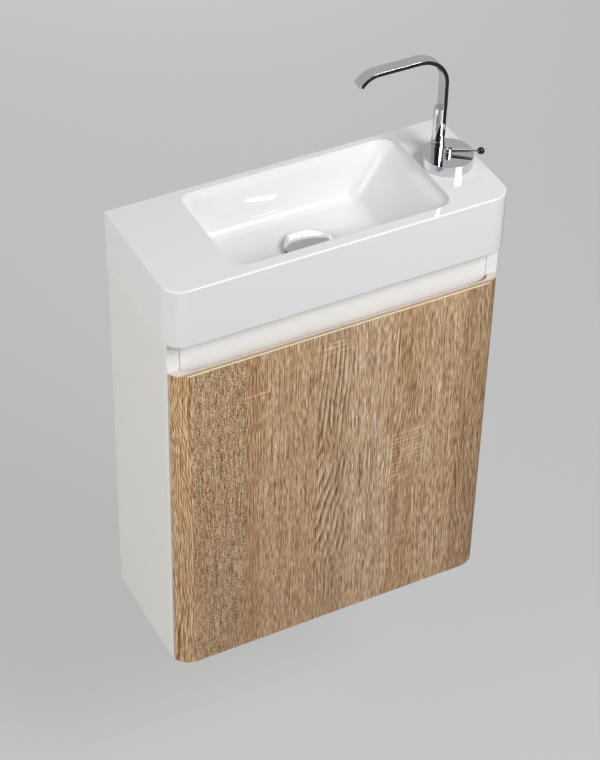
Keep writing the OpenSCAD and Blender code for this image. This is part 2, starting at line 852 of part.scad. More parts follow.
module spout_column() {
    color("silver") difference() {
        union() {
            post(column_x, -column_y, column_foot, column_top, column_d / 2);
            post(column_x, -column_y, column_foot - spigot_len, column_foot + 0.1, spigot_r);
        }
        post(column_x, -column_y, column_foot - spigot_len - over, column_top - strap_sink, 3);
        strap(strap_w + 2 * over, 0);
    }
}

module spout_arm() {
    color("silver") difference() {
        intersection() {
            strap(strap_w, 0);
            union() {
                post(column_x, -column_y, column_foot, column_top, column_d / 2);
                block([column_x - spout_reach - bend_r, -column_y - strap_w, column_top],
                    [column_x + bend_r, -column_y + strap_w, spout_top + over]);
            }
        }
        strap(channel_w, channel_inset);
        bar_y(set_screw_x, set_screw_z, -column_y, -column_y - column_d, set_screw_r);
    }
}

module spout_set_screw() {
    inner_end = -column_y - channel_w / 2;
    color("dimgray") bar_y(set_screw_x, set_screw_z, inner_end, inner_end - 1.6, set_screw_r);
}

module spout_outlet() {
    level_end = column_x - spout_reach + droop_r * sin(droop_angle);
    mid_r = droop_r - strap_t / 2;
    color("black") translate([level_end, -column_y, spout_top - droop_r])
        rotate([0, -droop_angle, 0])
            translate([outlet_gap, -channel_w / 2, mid_r - channel_t / 2 + outlet_gap])
                cube([outlet_len, channel_w, channel_t - 2 * outlet_gap]);
}

module waste_cap() {
    dome_r = (pow(cap_d / 2, 2) + pow(cap_rise, 2)) / (2 * cap_rise);
    color("silver") union() {
        post(0, -waste_y, cap_under, cap_under + cap_edge_t, cap_d / 2);
        intersection() {
            translate([0, -waste_y, cap_under + cap_edge_t + cap_rise - dome_r]) sphere(r = dome_r, $fn = 128);
            post(0, -waste_y, cap_under + 0.2, cap_under + cap_edge_t + cap_rise + over, cap_d / 2);
        }
    }
}

module cap_seal() {
    color("dimgray") tube(0, -waste_y, cap_under - seal_t, cap_under,
        tail_bore_d / 2 - seal_gap, tail_bore_d / 2 - seal_gap - seal_w);
}

module cap_stem() {
    color("silver") post(0, -waste_y, cartridge_z - cartridge_foot, cap_under, cap_stem_d / 2);
}

module click_cartridge() {
    shoulder = cartridge_z - cartridge_fall;
    color("darkgoldenrod") difference() {
        union() {
            post(0, -waste_y, shoulder, cartridge_z + cartridge_rise, cartridge_r);
            post(0, -waste_y, shoulder - bridge_t, shoulder + over, bridge_hole_r);
        }
        post(0, -waste_y, cartridge_z - cartridge_foot - cap_lift - over, cartridge_z + cartridge_rise + over,
            cap_stem_d / 2 + shaft_gap);
    }
}

module waste_flange() {
    bridge_top = cartridge_z - cartridge_fall;
    color("silver") difference() {
        union() {
            post(0, -waste_y, flange_top - flange_t, flange_top, flange_d / 2);
            post(0, -waste_y, tail_bottom, flange_top, tail_d / 2);
        }
        difference() {
            post(0, -waste_y, tail_bottom - over, flange_top + over, tail_bore_d / 2);
            block([-tail_d / 2, -waste_y - bridge_w / 2, bridge_top - bridge_t],
                [tail_d / 2, -waste_y + bridge_w / 2, bridge_top]);
            post(0, -waste_y, bridge_top - bridge_t, bridge_top, bridge_hub_r);
        }
        post(0, -waste_y, bridge_top - bridge_t - over, bridge_top + over, bridge_hole_r);
    }
}

module waste_flange_gasket() {
    color("dimgray") tube(0, -waste_y, bowl_floor, bowl_floor + flange_gasket_t, flange_d / 2 - 1, tail_d / 2);
}

module waste_cone_washer() {
    color("dimgray") tube(0, -waste_y, bowl_underside - cone_h, bowl_underside, cone_r, tail_d / 2);
}

module waste_back_nut() {
    top = bowl_underside - cone_h;
    color("silver") hex_nut(0, -waste_y, top - back_nut_h, top, back_nut_w, tail_d / 2);
}

module trap_inlet_nut() {
    low = tail_bottom - trap_nut_lip;
    color("silver") difference() {
        post(0, -waste_y, low, tail_bottom + inlet_nut_grip, inlet_nut_r);
        post(0, -waste_y, trap_tube_top - tube_collar_t, tail_bottom + inlet_nut_grip + over, tail_d / 2);
        post(0, -waste_y, low - over, tail_bottom, pipe_d / 2 + pipe_fit);
    }
}

module trap_nut_gasket() {
    color("dimgray") tube(0, -waste_y, trap_tube_top, tail_bottom, tail_d / 2 - loose_gap, pipe_d / 2 - pipe_wall);
}

module trap_inlet_tube() {
    color("silver") difference() {
        union() {
            post(0, -waste_y, dip_bottom, trap_tube_top, pipe_d / 2);
            post(0, -waste_y, trap_tube_top - tube_collar_t, trap_tube_top, tail_d / 2 - loose_gap);
        }
        post(0, -waste_y, dip_bottom - over, trap_tube_top + over, pipe_d / 2 - pipe_wall);
    }
}

module trap_gland_nut() {
    color("silver") tube(0, -waste_y, head_top, head_top + gland_h, gland_nut_r, pipe_d / 2);
}

module trap_head() {
    bore_r = cup_d / 2 - head_wall;
    boss_end = -waste_y + head_d / 2 + outlet_boss_len;
    color("silver") difference() {
        union() {
            post(0, -waste_y, head_bottom, head_top, head_d / 2);
            bar_y(0, -outlet_drop, boss_end, -waste_y, boss_r);
        }
        post(0, -waste_y, head_bottom - over, head_top - head_top_t, bore_r);
        post(0, -waste_y, head_top - head_top_t - over, head_top + over, pipe_d / 2);
        bar_y(0, -outlet_drop, boss_end + over, -waste_y + bore_r - 2, pipe_d / 2 - pipe_wall);
    }
}

module trap_cup() {
    low = head_bottom - cup_h;
    color("silver") difference() {
        union() {
            post(0, -waste_y, low + 2 * cup_foot, head_bottom, cup_d / 2 + cup_rim);
            post(0, -waste_y, low + cup_foot, low + 2 * cup_foot + over, cup_d / 2 - 2 * cup_rim);
        }
        post(0, -waste_y, low + cup_foot + cup_floor, head_bottom + over, cup_d / 2 - head_wall);
    }
}

module trap_outlet_nut() {
    boss_end = -waste_y + head_d / 2 + outlet_boss_len;
    color("silver") difference() {
        bar_y(0, -outlet_drop, boss_end + outlet_nut_lip, boss_end - outlet_nut_grip, gland_nut_r);
        bar_y(0, -outlet_drop, boss_end, boss_end - outlet_nut_grip - over, boss_r);
        bar_y(0, -outlet_drop, boss_end + outlet_nut_lip + over, boss_end - over, pipe_d / 2);
    }
}

module trap_outlet_pipe() {
    boss_end = -waste_y + head_d / 2 + outlet_boss_len;
    color("silver") difference() {
        union() {
            bar_y(0, -outlet_drop, 0, boss_end, pipe_d / 2);
            bar_y(0, -outlet_drop, mark_w + over / 2, -over / 2, pipe_d / 2 - mark_depth);
            bar_y(0, -outlet_drop, outlet_stub, mark_w, pipe_d / 2);
        }
        bar_y(0, -outlet_drop, outlet_stub + over, boss_end - over, pipe_d / 2 - pipe_wall);
    }
}

module wall_rose() {
    color("silver") difference() {
        union() {
            bar_y(0, -outlet_drop, 0, -rose_step, rose_d / 2);
            bar_y(0, -outlet_drop, -rose_step, -rose_t, rose_neck_r);
        }
        bar_y(0, -outlet_drop, over, -rose_t - over, pipe_d / 2 + pipe_fit);
    }
}

basin();
side_panel_left();
side_panel_right();
bottom_panel();
front_rail();
rear_top_rail();
rear_bottom_rail();
inner_shelf();
shelf_pins();
panel_dowels();
door_panel();
door_buffers();
hinge_arms();
hinge_arm_pins();
hinge_links();
hinge_cups();
hinge_cup_pins();
hinge_arm_screws();
hinge_cup_screws();
magnetic_catch();
catch_screws();
strike_plate();
strike_screw();
tap_body();
tap_gasket();
tap_rubber_washer();
tap_clamp_washer();
tap_fixing_nut();
control_cartridge();
lever_turret();
lever_pin();
lever_rod();
lever_knob();
column_collar();
spout_column();
spout_arm();
spout_set_screw();
spout_outlet();
waste_cap();
cap_seal();
cap_stem();
click_cartridge();
waste_flange();
waste_flange_gasket();
waste_cone_washer();
waste_back_nut();
trap_inlet_nut();
trap_nut_gasket();
trap_inlet_tube();
trap_gland_nut();
trap_head();
trap_cup();
trap_outlet_nut();
trap_outlet_pipe();
wall_rose();
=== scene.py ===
"""Looks of a compact wall-hung vanity unit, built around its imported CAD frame. Metres, front towards -Y."""

import json
import logging
import math
from dataclasses import dataclass
from enum import Enum
from functools import cache

import bmesh
import bpy
from bpy.types import Material, Mesh, Node, NodeSocket, NodeTree, Object
from mathutils import Matrix, Vector

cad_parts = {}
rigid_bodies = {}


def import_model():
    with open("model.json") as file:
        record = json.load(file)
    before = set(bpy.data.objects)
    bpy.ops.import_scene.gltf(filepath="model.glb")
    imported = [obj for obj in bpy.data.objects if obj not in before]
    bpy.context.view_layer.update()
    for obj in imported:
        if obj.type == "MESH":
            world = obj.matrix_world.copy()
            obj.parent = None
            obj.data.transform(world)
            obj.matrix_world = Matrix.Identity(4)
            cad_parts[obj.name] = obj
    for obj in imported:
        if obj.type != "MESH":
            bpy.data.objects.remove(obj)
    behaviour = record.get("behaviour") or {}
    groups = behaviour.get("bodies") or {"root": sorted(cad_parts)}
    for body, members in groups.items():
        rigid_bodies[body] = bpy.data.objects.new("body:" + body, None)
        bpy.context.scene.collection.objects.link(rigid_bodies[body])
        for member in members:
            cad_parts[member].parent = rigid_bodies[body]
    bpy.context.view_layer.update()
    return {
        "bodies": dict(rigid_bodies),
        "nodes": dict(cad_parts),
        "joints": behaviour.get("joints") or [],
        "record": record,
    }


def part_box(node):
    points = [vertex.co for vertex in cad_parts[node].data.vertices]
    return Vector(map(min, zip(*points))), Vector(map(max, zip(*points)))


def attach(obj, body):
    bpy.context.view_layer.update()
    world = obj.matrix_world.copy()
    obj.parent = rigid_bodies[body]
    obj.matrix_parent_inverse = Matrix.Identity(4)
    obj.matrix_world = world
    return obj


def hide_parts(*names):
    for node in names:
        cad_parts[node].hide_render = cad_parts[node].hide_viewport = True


Feed = Node | NodeSocket
Inputs = dict[str | int, object]
Layers = list[tuple[float, list[Feed]]]
Pair = tuple[float, float]
Triple = tuple[float, float, float]

LOG = logging.getLogger("vanity")
MM = 0.001
CORNER_STEPS = 12
TURNED_STEPS = 128
SMOOTH_ANGLE = 36
SHARP_ANGLE = 30
FLAT_ANGLE = 0.8
WELD = 1e-6
SAME_POINT = 1e-7


# Small helpers


def linear(code: str) -> tuple[float, float, float, float]:
    """Turn an sRGB hex colour into linear RGBA.

    Args:
        code: six hex digits, with or without a leading hash.

    Returns:
        Red, green, blue and alpha as linear numbers.
    """
    digits = code.lstrip("#")
    out = []
    for start in (0, 2, 4):
        value = int(digits[start:start + 2], 16) / 255
        out.append(value / 12.92 if value <= 0.04045 else ((value + 0.055) / 1.055) ** 2.4)
    return (out[0], out[1], out[2], 1.0)


def per_mm(size: float) -> float:
    """Scale of a noise whose pattern repeats about every size millimetres."""
    return 1000.0 / size


def wave_of(size: float) -> float:
    """Scale of a wave texture with a wave every size millimetres. At 1 it turns by 20 radians a metre."""
    return math.tau / (20 * size * MM)


def angles(start: float, sweep: float, steps: int) -> list[float]:
    """Evenly spaced angles of an arc, with both its ends.

    Args:
        start: first angle in degrees.
        sweep: how far the arc turns, in degrees.
        steps: number of steps from end to end.

    Returns:
        The angles in radians.
    """
    return [math.radians(start + sweep * step / steps) for step in range(steps + 1)]


def add_node(
    tree: NodeTree,
    kind: str,
    inputs: Inputs | None = None,
    stops: list[tuple[float, str]] | None = None,
    **settings: object,
) -> Node:
    """Add one node to a tree with its settings, values and links.

    Args:
        tree: the tree it goes into.
        kind: the node's type name.
        inputs: socket name or index to what it gets: a number, a hex colour, or what feeds it. A node
            feeds it from its first output that is in use.
        stops: places and hex colours of a colour ramp.
        settings: plain properties of the node.

    Returns:
        The new node.
    """
    node = tree.nodes.new(kind)
    for name, value in settings.items():
        setattr(node, name, value)
    for name, value in (inputs or {}).items():
        if isinstance(value, Node):
            value = next(socket for socket in value.outputs if socket.enabled)
        if isinstance(value, NodeSocket):
            tree.links.new(value, node.inputs[name])
        else:
            node.inputs[name].default_value = linear(value) if isinstance(value, str) else value
    if stops:
        ramp = node.color_ramp
        while len(ramp.elements) < len(stops):
            ramp.elements.new(0.5)
        for element, (place, code) in zip(ramp.elements, stops):
            element.position = place
            element.color = linear(code)
    return node


def new_material(name: str) -> tuple[Material, NodeTree]:
    """Make an empty material.

    Args:
        name: the material's name.

    Returns:
        The material and its node tree.
    """
    material = bpy.data.materials.new(name)
    material.use_nodes = True
    material.node_tree.nodes.clear()
    return material, material.node_tree


@cache
def material_of(finish: object) -> Material:
    """Material of a finish, made once.

    Args:
        finish: one of the finishes below, with its name and its paint method.

    Returns:
        The material, whose Principled shader gets what the finish paints.
    """
    material, tree = new_material(finish.name)
    shader = add_node(tree, "ShaderNodeBsdfPrincipled", finish.paint(tree))
    add_node(tree, "ShaderNodeOutputMaterial", {"Surface": shader})
    return material


def place_of(tree: NodeTree, size_mm: Triple | None = None, place: Feed | None = None) -> Feed:
    """Coordinates in the part's own frame.

    Args:
        tree: the material's node tree.
        size_mm: a pattern's size along each axis, which becomes the unit; metres when left out.
        place: coordinates in metres to start from, the part's own when left out.

    Returns:
        The coordinates.
    """
    if place is None:
        place = add_node(tree, "ShaderNodeTexCoord").outputs["Object"]
    if size_mm is None:
        return place
    scale = tuple(per_mm(size) for size in size_mm)
    return add_node(tree, "ShaderNodeMapping", {"Vector": place, "Scale": scale})


def overlap(tree: NodeTree, first: Feed, *others: Feed) -> Feed:
    """Multiply a pattern with its masks.

    Args:
        tree: the material's node tree.
        first: the pattern, or the first mask.
        others: the masks.

    Returns:
        The product.
    """
    for other in others:
        first = add_node(tree, "ShaderNodeMath", {0: first, 1: other}, operation="MULTIPLY")
    return first


def band(tree: NodeTree, value: Feed, start: float, end: float, fade: float) -> Feed:
    """Mask that is 1 between two places and fades to 0 outside them.

    Args:
        tree: the material's node tree.
        value: the coordinate.
        start: lower place.
        end: upper place.
        fade: width of each soft end.

    Returns:
        The mask.
    """
    ramps = [
        add_node(
            tree, "ShaderNodeMapRange",
            {"Value": value, "From Min": low, "From Max": high, "To Min": before, "To Max": 1.0 - before},
            interpolation_type="SMOOTHSTEP",
        )
        for low, high, before in ((start - fade, start, 0.0), (end, end + fade, 1.0))
    ]
    return overlap(tree, *ramps)


# Finishes


@dataclass(frozen=True)
class SanitaryGlaze:
    """Vitreous china under a clear fired glaze: white, wet-looking and very slightly wavy.

    The bowl is painted a little whiter than the deck, as painted light for the brighter light in it.
    The foot that stands on the kiln shelf and the back that is ground flat for the wall are bare, dull and
    slightly buff.
    """

    name: str = "sanitary_glaze"
    colour: str = "DEDEE0"
    # Painted light: a whiter colour for the bowl, for the brighter light in it
    bowl_painted_light: str = "E3E3E5"
    biscuit: str = "E4DED3"
    roughness: float = 0.06
    bare_roughness: float = 0.75
    ior: float = 1.52
    wave_mm: float = 22.0
    wave_strength: float = 0.6
    wave_depth: float = 0.00005
    bowl: tuple[Pair, Pair, Pair] = ((-0.137, 0.155), (-0.167, -0.007), (0.0, 0.1375))
    bowl_fade: float = 0.0012
    foot: float = 0.0583
    back: float = -0.0003

    def paint(self, tree: NodeTree) -> Inputs:
        """Paint the glaze and the bare places.

        Args:
            tree: the material's node tree.

        Returns:
            What the shader's sockets get.
        """
        place = place_of(tree)
        axes = add_node(tree, "ShaderNodeSeparateXYZ", {"Vector": place}).outputs
        sides = [band(tree, axis, *limits, self.bowl_fade) for axis, limits in zip(axes, self.bowl)]
        bowl = overlap(tree, *sides)
        # Painted light: the bowl is painted whiter than the deck for the brighter light in it
        white = add_node(tree, "ShaderNodeMix", {0: bowl, 6: self.colour, 7: self.bowl_painted_light}, data_type="RGBA")
        foot = add_node(tree, "ShaderNodeMath", {0: axes["Z"], 1: self.foot}, operation="LESS_THAN")
        back = add_node(tree, "ShaderNodeMath", {0: axes["Y"], 1: self.back}, operation="GREATER_THAN")
        bare = add_node(tree, "ShaderNodeMath", {0: foot, 1: back}, operation="MAXIMUM")
        colour = add_node(tree, "ShaderNodeMix", {0: bare, 6: white, 7: self.biscuit}, data_type="RGBA")
        dull = {"Value": bare, "To Min": self.roughness, "To Max": self.bare_roughness}
        # A fired glaze sags a little before it sets, which bends long reflections
        swell = {"Vector": place, "Scale": per_mm(self.wave_mm), "Detail": 1.0}
        wave = add_node(tree, "ShaderNodeTexNoise", swell)
        relief = {"Height": wave, "Strength": self.wave_strength, "Distance": self.wave_depth}
        return {
            "Base Color": colour,
            "Roughness": add_node(tree, "ShaderNodeMapRange", dull),
            "Normal": add_node(tree, "ShaderNodeBump", relief),
            "IOR": self.ior,
        }


@dataclass(frozen=True)
class MelamineBoard:
    """White foil on chipboard: a satin skin, on the rail with the faint grain of its press plate.

    Front edges carry an edge band, given a brighter tone as painted light for the front light it catches.
    Where the rail meets the side boards, a fine line of painted shade marks the joint's gap. The side
    boards' edges at the wall are left bare and show the pressed chips. The line of painted shade is
    drawn 0.9 mm wide and the foil's pebbles 1.6 mm, because the real ones, of about 0.2 mm and 0.5 mm, are
    too fine to show.
    """

    name: str = "melamine_board"
    colour: str = "DCDBD8"
    grain: str = "DAD9D6"
    # Partly painted light: a real edge band, given a brighter tone than the faces for the front light its
    # edges catch
    band: str = "EAEBED"
    # Painted shade of the gap where the rail meets the side boards
    joint: str = "B4B0AC"
    joint_at: float = 0.205
    joint_half: float = 0.00045
    joint_fade: float = 0.0002
    band_to: float = -0.1623
    joint_to: float = -0.1615
    roughness: float = 0.34
    raw_roughness: float = 0.85
    ior: float = 1.5
    grain_mm: Triple = (90.0, 90.0, 2.2)
    grain_cut: Pair = (0.38, 0.58)
    pebble_mm: float = 1.6
    pebble_strength: float = 0.25
    pebble_depth: float = 0.00004
    chip_mm: float = 2.4
    chips: tuple[tuple[float, str], ...] = ((0.2, "A58C6A"), (0.5, "C4AC86"), (0.8, "DCCAA8"))
    raw_from: float = -0.0004

    def paint(self, tree: NodeTree) -> Inputs:
        """Paint the foil, the edge bands, the joint lines and the bare chips.

        Args:
            tree: the material's node tree.

        Returns:
            What the shader's sockets get.
        """
        place = place_of(tree)
        lines = {"Vector": place_of(tree, self.grain_mm), "Scale": 1.0, "Detail": 3.0, "Roughness": 0.55}
        grain = add_node(tree, "ShaderNodeTexNoise", lines)
        foil = [(self.grain_cut[0], self.grain), (self.grain_cut[1], self.colour)]
        tint = add_node(tree, "ShaderNodeValToRGB", {"Fac": grain}, foil)
        x, y, _ = add_node(tree, "ShaderNodeSeparateXYZ", {"Vector": place}).outputs
        # Painted light: the front edges get the brighter edge band
        front = add_node(tree, "ShaderNodeMath", {0: y, 1: self.band_to}, operation="LESS_THAN")
        skin = add_node(tree, "ShaderNodeMix", {0: front, 6: tint, 7: self.band}, data_type="RGBA")
        across = add_node(tree, "ShaderNodeMath", {0: x}, operation="ABSOLUTE")
        # Painted shade: a fine dark line in the joint between the rail and the side boards
        joint = (self.joint_at - self.joint_half, self.joint_at + self.joint_half, self.joint_fade)
        fore = add_node(tree, "ShaderNodeMath", {0: y, 1: self.joint_to}, operation="LESS_THAN")
        line = overlap(tree, band(tree, across, *joint), fore)
        joint_shaded = add_node(tree, "ShaderNodeMix", {0: line, 6: skin, 7: self.joint}, data_type="RGBA")
        chip = add_node(tree, "ShaderNodeTexVoronoi", {"Vector": place, "Scale": per_mm(self.chip_mm)})
        core = add_node(tree, "ShaderNodeValToRGB", {"Fac": chip.outputs["Color"]}, list(self.chips))
        rear = add_node(tree, "ShaderNodeMath", {0: y, 1: self.raw_from}, operation="GREATER_THAN")
        side = add_node(tree, "ShaderNodeMath", {0: across, 1: self.joint_at}, operation="GREATER_THAN")
        raw = overlap(tree, rear, side)
        dull = {"Value": raw, "To Min": self.roughness, "To Max": self.raw_roughness}
        satin = {"Vector": place, "Scale": per_mm(self.pebble_mm), "Detail": 1.0}
        pebble = add_node(tree, "ShaderNodeTexNoise", satin)
        relief = {"Height": pebble, "Strength": self.pebble_strength, "Distance": self.pebble_depth}
        return {
            "Base Color": add_node(tree, "ShaderNodeMix", {0: raw, 6: joint_shaded, 7: core}, data_type="RGBA"),
            "Roughness": add_node(tree, "ShaderNodeMapRange", dull),
            "Normal": add_node(tree, "ShaderNodeBump", relief),
            "IOR": self.ior,
        }


class Tone(Enum):
    """Tints of the printed planks, laid over the oak's own colours."""

    PALE = "FFFFFF"
    LIGHT = "FCF8F2"
    GOLD = "FEF2DC"
    TAN = "F8F1E8"
    MIDDLE = "EDE8E0"
    BROWN = "F1E7DA"
    DULL = "EEE8DD"
    RED = "ECDECC"
    DARK = "E4DBD0"


@dataclass(frozen=True)
class Plank:
    """One printed plank of the decor, in mm and shares.

    The flame is what a flat-sawn board shows of its leaning trunk: pith is where the trunk's
    middle stands across the door, depth how far it lies behind the face at the top.
    """

    left: float
    right: float
    tone: Tone
    rough: float = 0.0
    flame: float = 0.0
    pith: float = 0.0
    depth: float = 30.0
    lean: float = -0.14
    ring: float = 4.4
    flame_top: float = -70.0
    flame_end: float = -330.0
    seam: float = 0.0


@dataclass(frozen=True)
class OakDecor:
    """Embossed oak decor on a door board: butted planks of sawn oak, dull, with its pores pressed in.

    The planks differ in tint and figure: some are rough from the saw, some show a dark flame, and
    the saw left pale bars across the grain here and there. Pores and fibres are drawn about 1 mm
    wide, twice their real width, because finer ones don't show in the render. The ink fields say
    how much each layer darkens or lightens the print, the press fields how deep it is pressed.
    """

    name: str = "oak_decor"
    tints: tuple[tuple[float, str], ...] = (
        (0.05, "75522E"), (0.40, "B28F6A"), (0.56, "CCB08F"), (0.98, "F1E1CC"),
    )
    pore: str = "6A4C30"
    # Painted highlight on the lip's front arris; crown and crown_back are painted shade on the lip's top,
    # fading pale towards its back
    arris: str = "F4E6D0"
    crown: str = "A38B6E"
    crown_back: str = "D9D0C5"
    # Painted shade: multiplied in more and more towards the door's bottom, for the dimmer light lower down
    shade: str = "EEEAE4"
    white: str = "DEDDDA"
    roughness: float = 0.48
    ior: float = 1.5
    strength: float = 0.55
    relief: float = 0.0004
    half: float = 223
    top: float = 15
    bottom: float = -467.5
    back: float = -164.2
    front: float = -180
    arris_mm: float = 1.0
    arris_fade: float = 0.05
    crown_to: float = 0.45
    crown_back_from: float = 0.9
    crown_share: float = 0.8
    lip: float = 7.4
    sway_mm: Triple = (50, 50, 130)
    sway: float = 0.012
    fibre_mm: Pair = (1.0, 90)
    hair_mm: Pair = (0.9, 15)
    pore_mm: Pair = (1.1, 14)
    streak_mm: Pair = (7, 260)
    tuft_mm: Pair = (1.4, 2.8)
    patch_mm: Pair = (13, 110)
    bar_mm: float = 7
    bar_break_mm: Pair = (24, 5)
    bar_stretch: Triple = (0.2, 0.2, 1.0)
    bar_waver: float = 1.6
    ring_waver: float = 4.5
    bar_cut: Pair = (0.62, 0.9)
    break_cut: Pair = (0.42, 0.60)
    patch_cut: Pair = (0.38, 0.56)
    patch_low: float = 0.25
    pore_cut: Pair = (0.58, 0.65)
    joint_share: float = 0.002
    fibre_ink: float = 1.7
    hair_ink: float = 1.1
    streak_ink: float = 0.32
    tuft_ink: float = -1.0
    hidden_ink: float = -0.7
    seam_ink: float = -0.5
    bar_ink: float = 0.33
    pore_ink: float = 0.5
    fibre_press: float = 0.5
    hair_press: float = 1.2
    tuft_press: float = -1.5
    pore_press: float = -0.8
    plank_fade: float = 0.0008
    flame_fade: float = 0.05
    seam_half: float = 0.2
    seam_fade: float = 0.0006
    bar_fade: float = 0.004
    planks: tuple[Plank, ...] = (
        Plank(-223, -198, Tone.GOLD, flame=0.8, pith=-290, depth=130, lean=0.3, ring=3.6, flame_top=-40,
              flame_end=-440),
        Plank(-198, -128, Tone.DULL, rough=1.0),
        Plank(-128, -110, Tone.RED, rough=0.3),
        Plank(-110, -29, Tone.TAN, rough=0.25, seam=0.5),
        Plank(-29, 14, Tone.MIDDLE, flame=0.85, pith=-52, depth=2, lean=-0.22, ring=6.0, flame_top=-20),
        Plank(14, 79, Tone.PALE, rough=0.1, seam=0.5),
        Plank(79, 111, Tone.BROWN, flame=0.4, pith=40, ring=3.4, flame_end=-200),
        Plank(111, 172, Tone.LIGHT, rough=0.15),
        Plank(172, 223, Tone.DARK, rough=0.1, flame=0.4, pith=244, flame_top=-230, flame_end=-440),
    )
    bars: tuple[tuple[float, float, float, float], ...] = (
        (79, 126, -276, -184), (-25, 5, -46, 4), (-126, -76, -360, -349), (-128, -98, -54, -44),
    )

    def across(self, tree: NodeTree, place: Feed) -> Feed:
        """Tint each plank, with sharp joints.

        Args:
            tree: the material's node tree.
            place: distance in metres from the door's middle.

        Returns:
            The tint.
        """
        width = {"Value": place, "From Min": -self.half * MM, "From Max": self.half * MM}
        stops = [(0.0, self.planks[0].tone.value)]
        for before, after in zip(self.planks, self.planks[1:]):
            joint = (before.right + self.half) / (2 * self.half)
            stops.append((joint - self.joint_share, before.tone.value))
            stops.append((joint + self.joint_share, after.tone.value))
        share = add_node(tree, "ShaderNodeMapRange", width)
        return add_node(tree, "ShaderNodeValToRGB", {"Fac": share}, stops)

    def grain(self, tree: NodeTree, place: Feed, size: Pair, detail: float = 2.0) -> Feed:
        """Streaks along the grain.

        Args:
            tree: the material's node tree.
            place: the grain's coordinates.
            size: width and length of a streak in mm.
            detail: octaves of finer streaks in it.

        Returns:
            Pattern from 0 to 1 round 0.5.
        """
        fine = place_of(tree, (size[0], size[0], size[1]), place)
        inputs = {"Vector": fine, "Scale": 1.0, "Detail": detail, "Roughness": 0.6}
        return add_node(tree, "ShaderNodeTexNoise", inputs)

    def tufts(self, tree: NodeTree, place: Feed) -> Feed:
        """Small packed tufts that the saw tore up: 0 in the middle of each, about 1 between them."""
        fine = place_of(tree, (self.tuft_mm[0], self.tuft_mm[0], self.tuft_mm[1]), place)
        return add_node(tree, "ShaderNodeTexVoronoi", {"Vector": fine, "Scale": 1.0})

    def rings(self, tree: NodeTree, place: Feed, plank: Plank) -> Feed:
        """Growth rings of a plank's leaning trunk, cut by the door's face into a flame.

        Args:
            tree: the material's node tree.
            place: the grain's coordinates.
            plank: the plank.

        Returns:
            Pattern that runs from -0.5 to 0.5 across each ring.
        """
        trunk = (-plank.pith * MM, (-self.front - plank.depth) * MM, 0)
        turned = {"Vector": place, "Rotation": (plank.lean, 0, 0), "Location": trunk}
        wave = add_node(
            tree, "ShaderNodeTexWave",
            {"Vector": add_node(tree, "ShaderNodeMapping", turned), "Scale": wave_of(plank.ring),
             "Distortion": self.ring_waver, "Detail": 0.0, "Detail Scale": 0.2},
            wave_type="RINGS", rings_direction="Z", wave_profile="SAW",
        )
        return add_node(tree, "ShaderNodeMath", {0: wave.outputs["Fac"], 1: 0.5}, operation="SUBTRACT")

    def saw_marks(self, tree: NodeTree, place: Feed) -> Feed:
        """Thin pale bars across the grain, unevenly spaced and broken in places.

        Args:
            tree: the material's node tree.
            place: coordinates in metres.

        Returns:
            The mask of the bars.
        """
        level = add_node(tree, "ShaderNodeMapping", {"Vector": place, "Scale": self.bar_stretch})
        wave = add_node(
            tree, "ShaderNodeTexWave",
            {"Vector": level, "Scale": wave_of(self.bar_mm), "Distortion": self.bar_waver,
             "Detail": 1.0, "Detail Scale": 1.0},
            wave_type="BANDS", bands_direction="Z",
        )
        broken = self.grain(tree, place, self.bar_break_mm, 1.0)
        masks = [
            add_node(tree, "ShaderNodeMapRange", {"Value": value, "From Min": cut[0], "From Max": cut[1]})
            for value, cut in ((wave.outputs["Fac"], self.bar_cut), (broken, self.break_cut))
        ]
        return overlap(tree, *masks)

    def edge_highlight_and_shade(self, tree: NodeTree, face: Feed, y: Feed, z: Feed) -> Feed:
        """Colour with the upper edge added: a painted highlight along its front arris, then painted shade on
        the lip's top behind it that fades pale towards its back.

        Args:
            tree: the material's node tree.
            face: colour of the print.
            y: depth in metres.
            z: height in metres.

        Returns:
            The colour.
        """
        width = {"Value": y, "From Min": self.front * MM, "From Max": (self.front + self.lip) * MM}
        reach = add_node(tree, "ShaderNodeMapRange", width)
        arris = self.arris_mm / self.lip
        # Painted highlight at the front arris, then painted shade over the lip's top, fading pale at its back
        stops = [(0.0, self.arris), (arris, self.arris), (arris + self.arris_fade, self.crown),
                 (self.crown_to, self.crown), (self.crown_back_from, self.crown_back)]
        ramp = add_node(tree, "ShaderNodeValToRGB", {"Fac": reach}, stops)
        level = self.top - self.arris_mm
        upper = {"Value": z, "From Min": (level - 0.2) * MM, "From Max": (level + 0.1) * MM}
        high = add_node(tree, "ShaderNodeMapRange", {**upper, "To Max": self.crown_share})
        return add_node(tree, "ShaderNodeMix", {0: high, 6: face, 7: ramp}, data_type="RGBA")

    def stack(self, tree: NodeTree, layers: Layers) -> Feed:
        """Sum of layers round 0.5.

        Args:
            tree: the material's node tree.
            layers: each layer's weight, with its pattern and masks, which are multiplied.

        Returns:
            The sum.
        """
        total = 0.5
        for weight, parts in layers:
            inputs = {0: overlap(tree, *parts), 1: weight, 2: total}
            total = add_node(tree, "ShaderNodeMath", inputs, operation="MULTIPLY_ADD")
        return total

    def swayed(self, tree: NodeTree, place: Feed) -> Feed:
        """Bend the grain by a few mm over a hand's length, because it never runs dead straight.

        Args:
            tree: the material's node tree.
            place: coordinates in metres.

        Returns:
            The grain's coordinates.
        """
        inputs = {"Vector": place_of(tree, self.sway_mm), "Scale": 1.0, "Detail": 1.0}
        sway = add_node(tree, "ShaderNodeTexNoise", inputs).outputs["Color"]
        shift = add_node(tree, "ShaderNodeVectorMath", {0: sway, 1: (0.5, 0.5, 0.5)}, operation="SUBTRACT")
        inputs = {0: shift, 1: (self.sway, 0.0, 0.0), 2: place}
        return add_node(tree, "ShaderNodeVectorMath", inputs, operation="MULTIPLY_ADD")

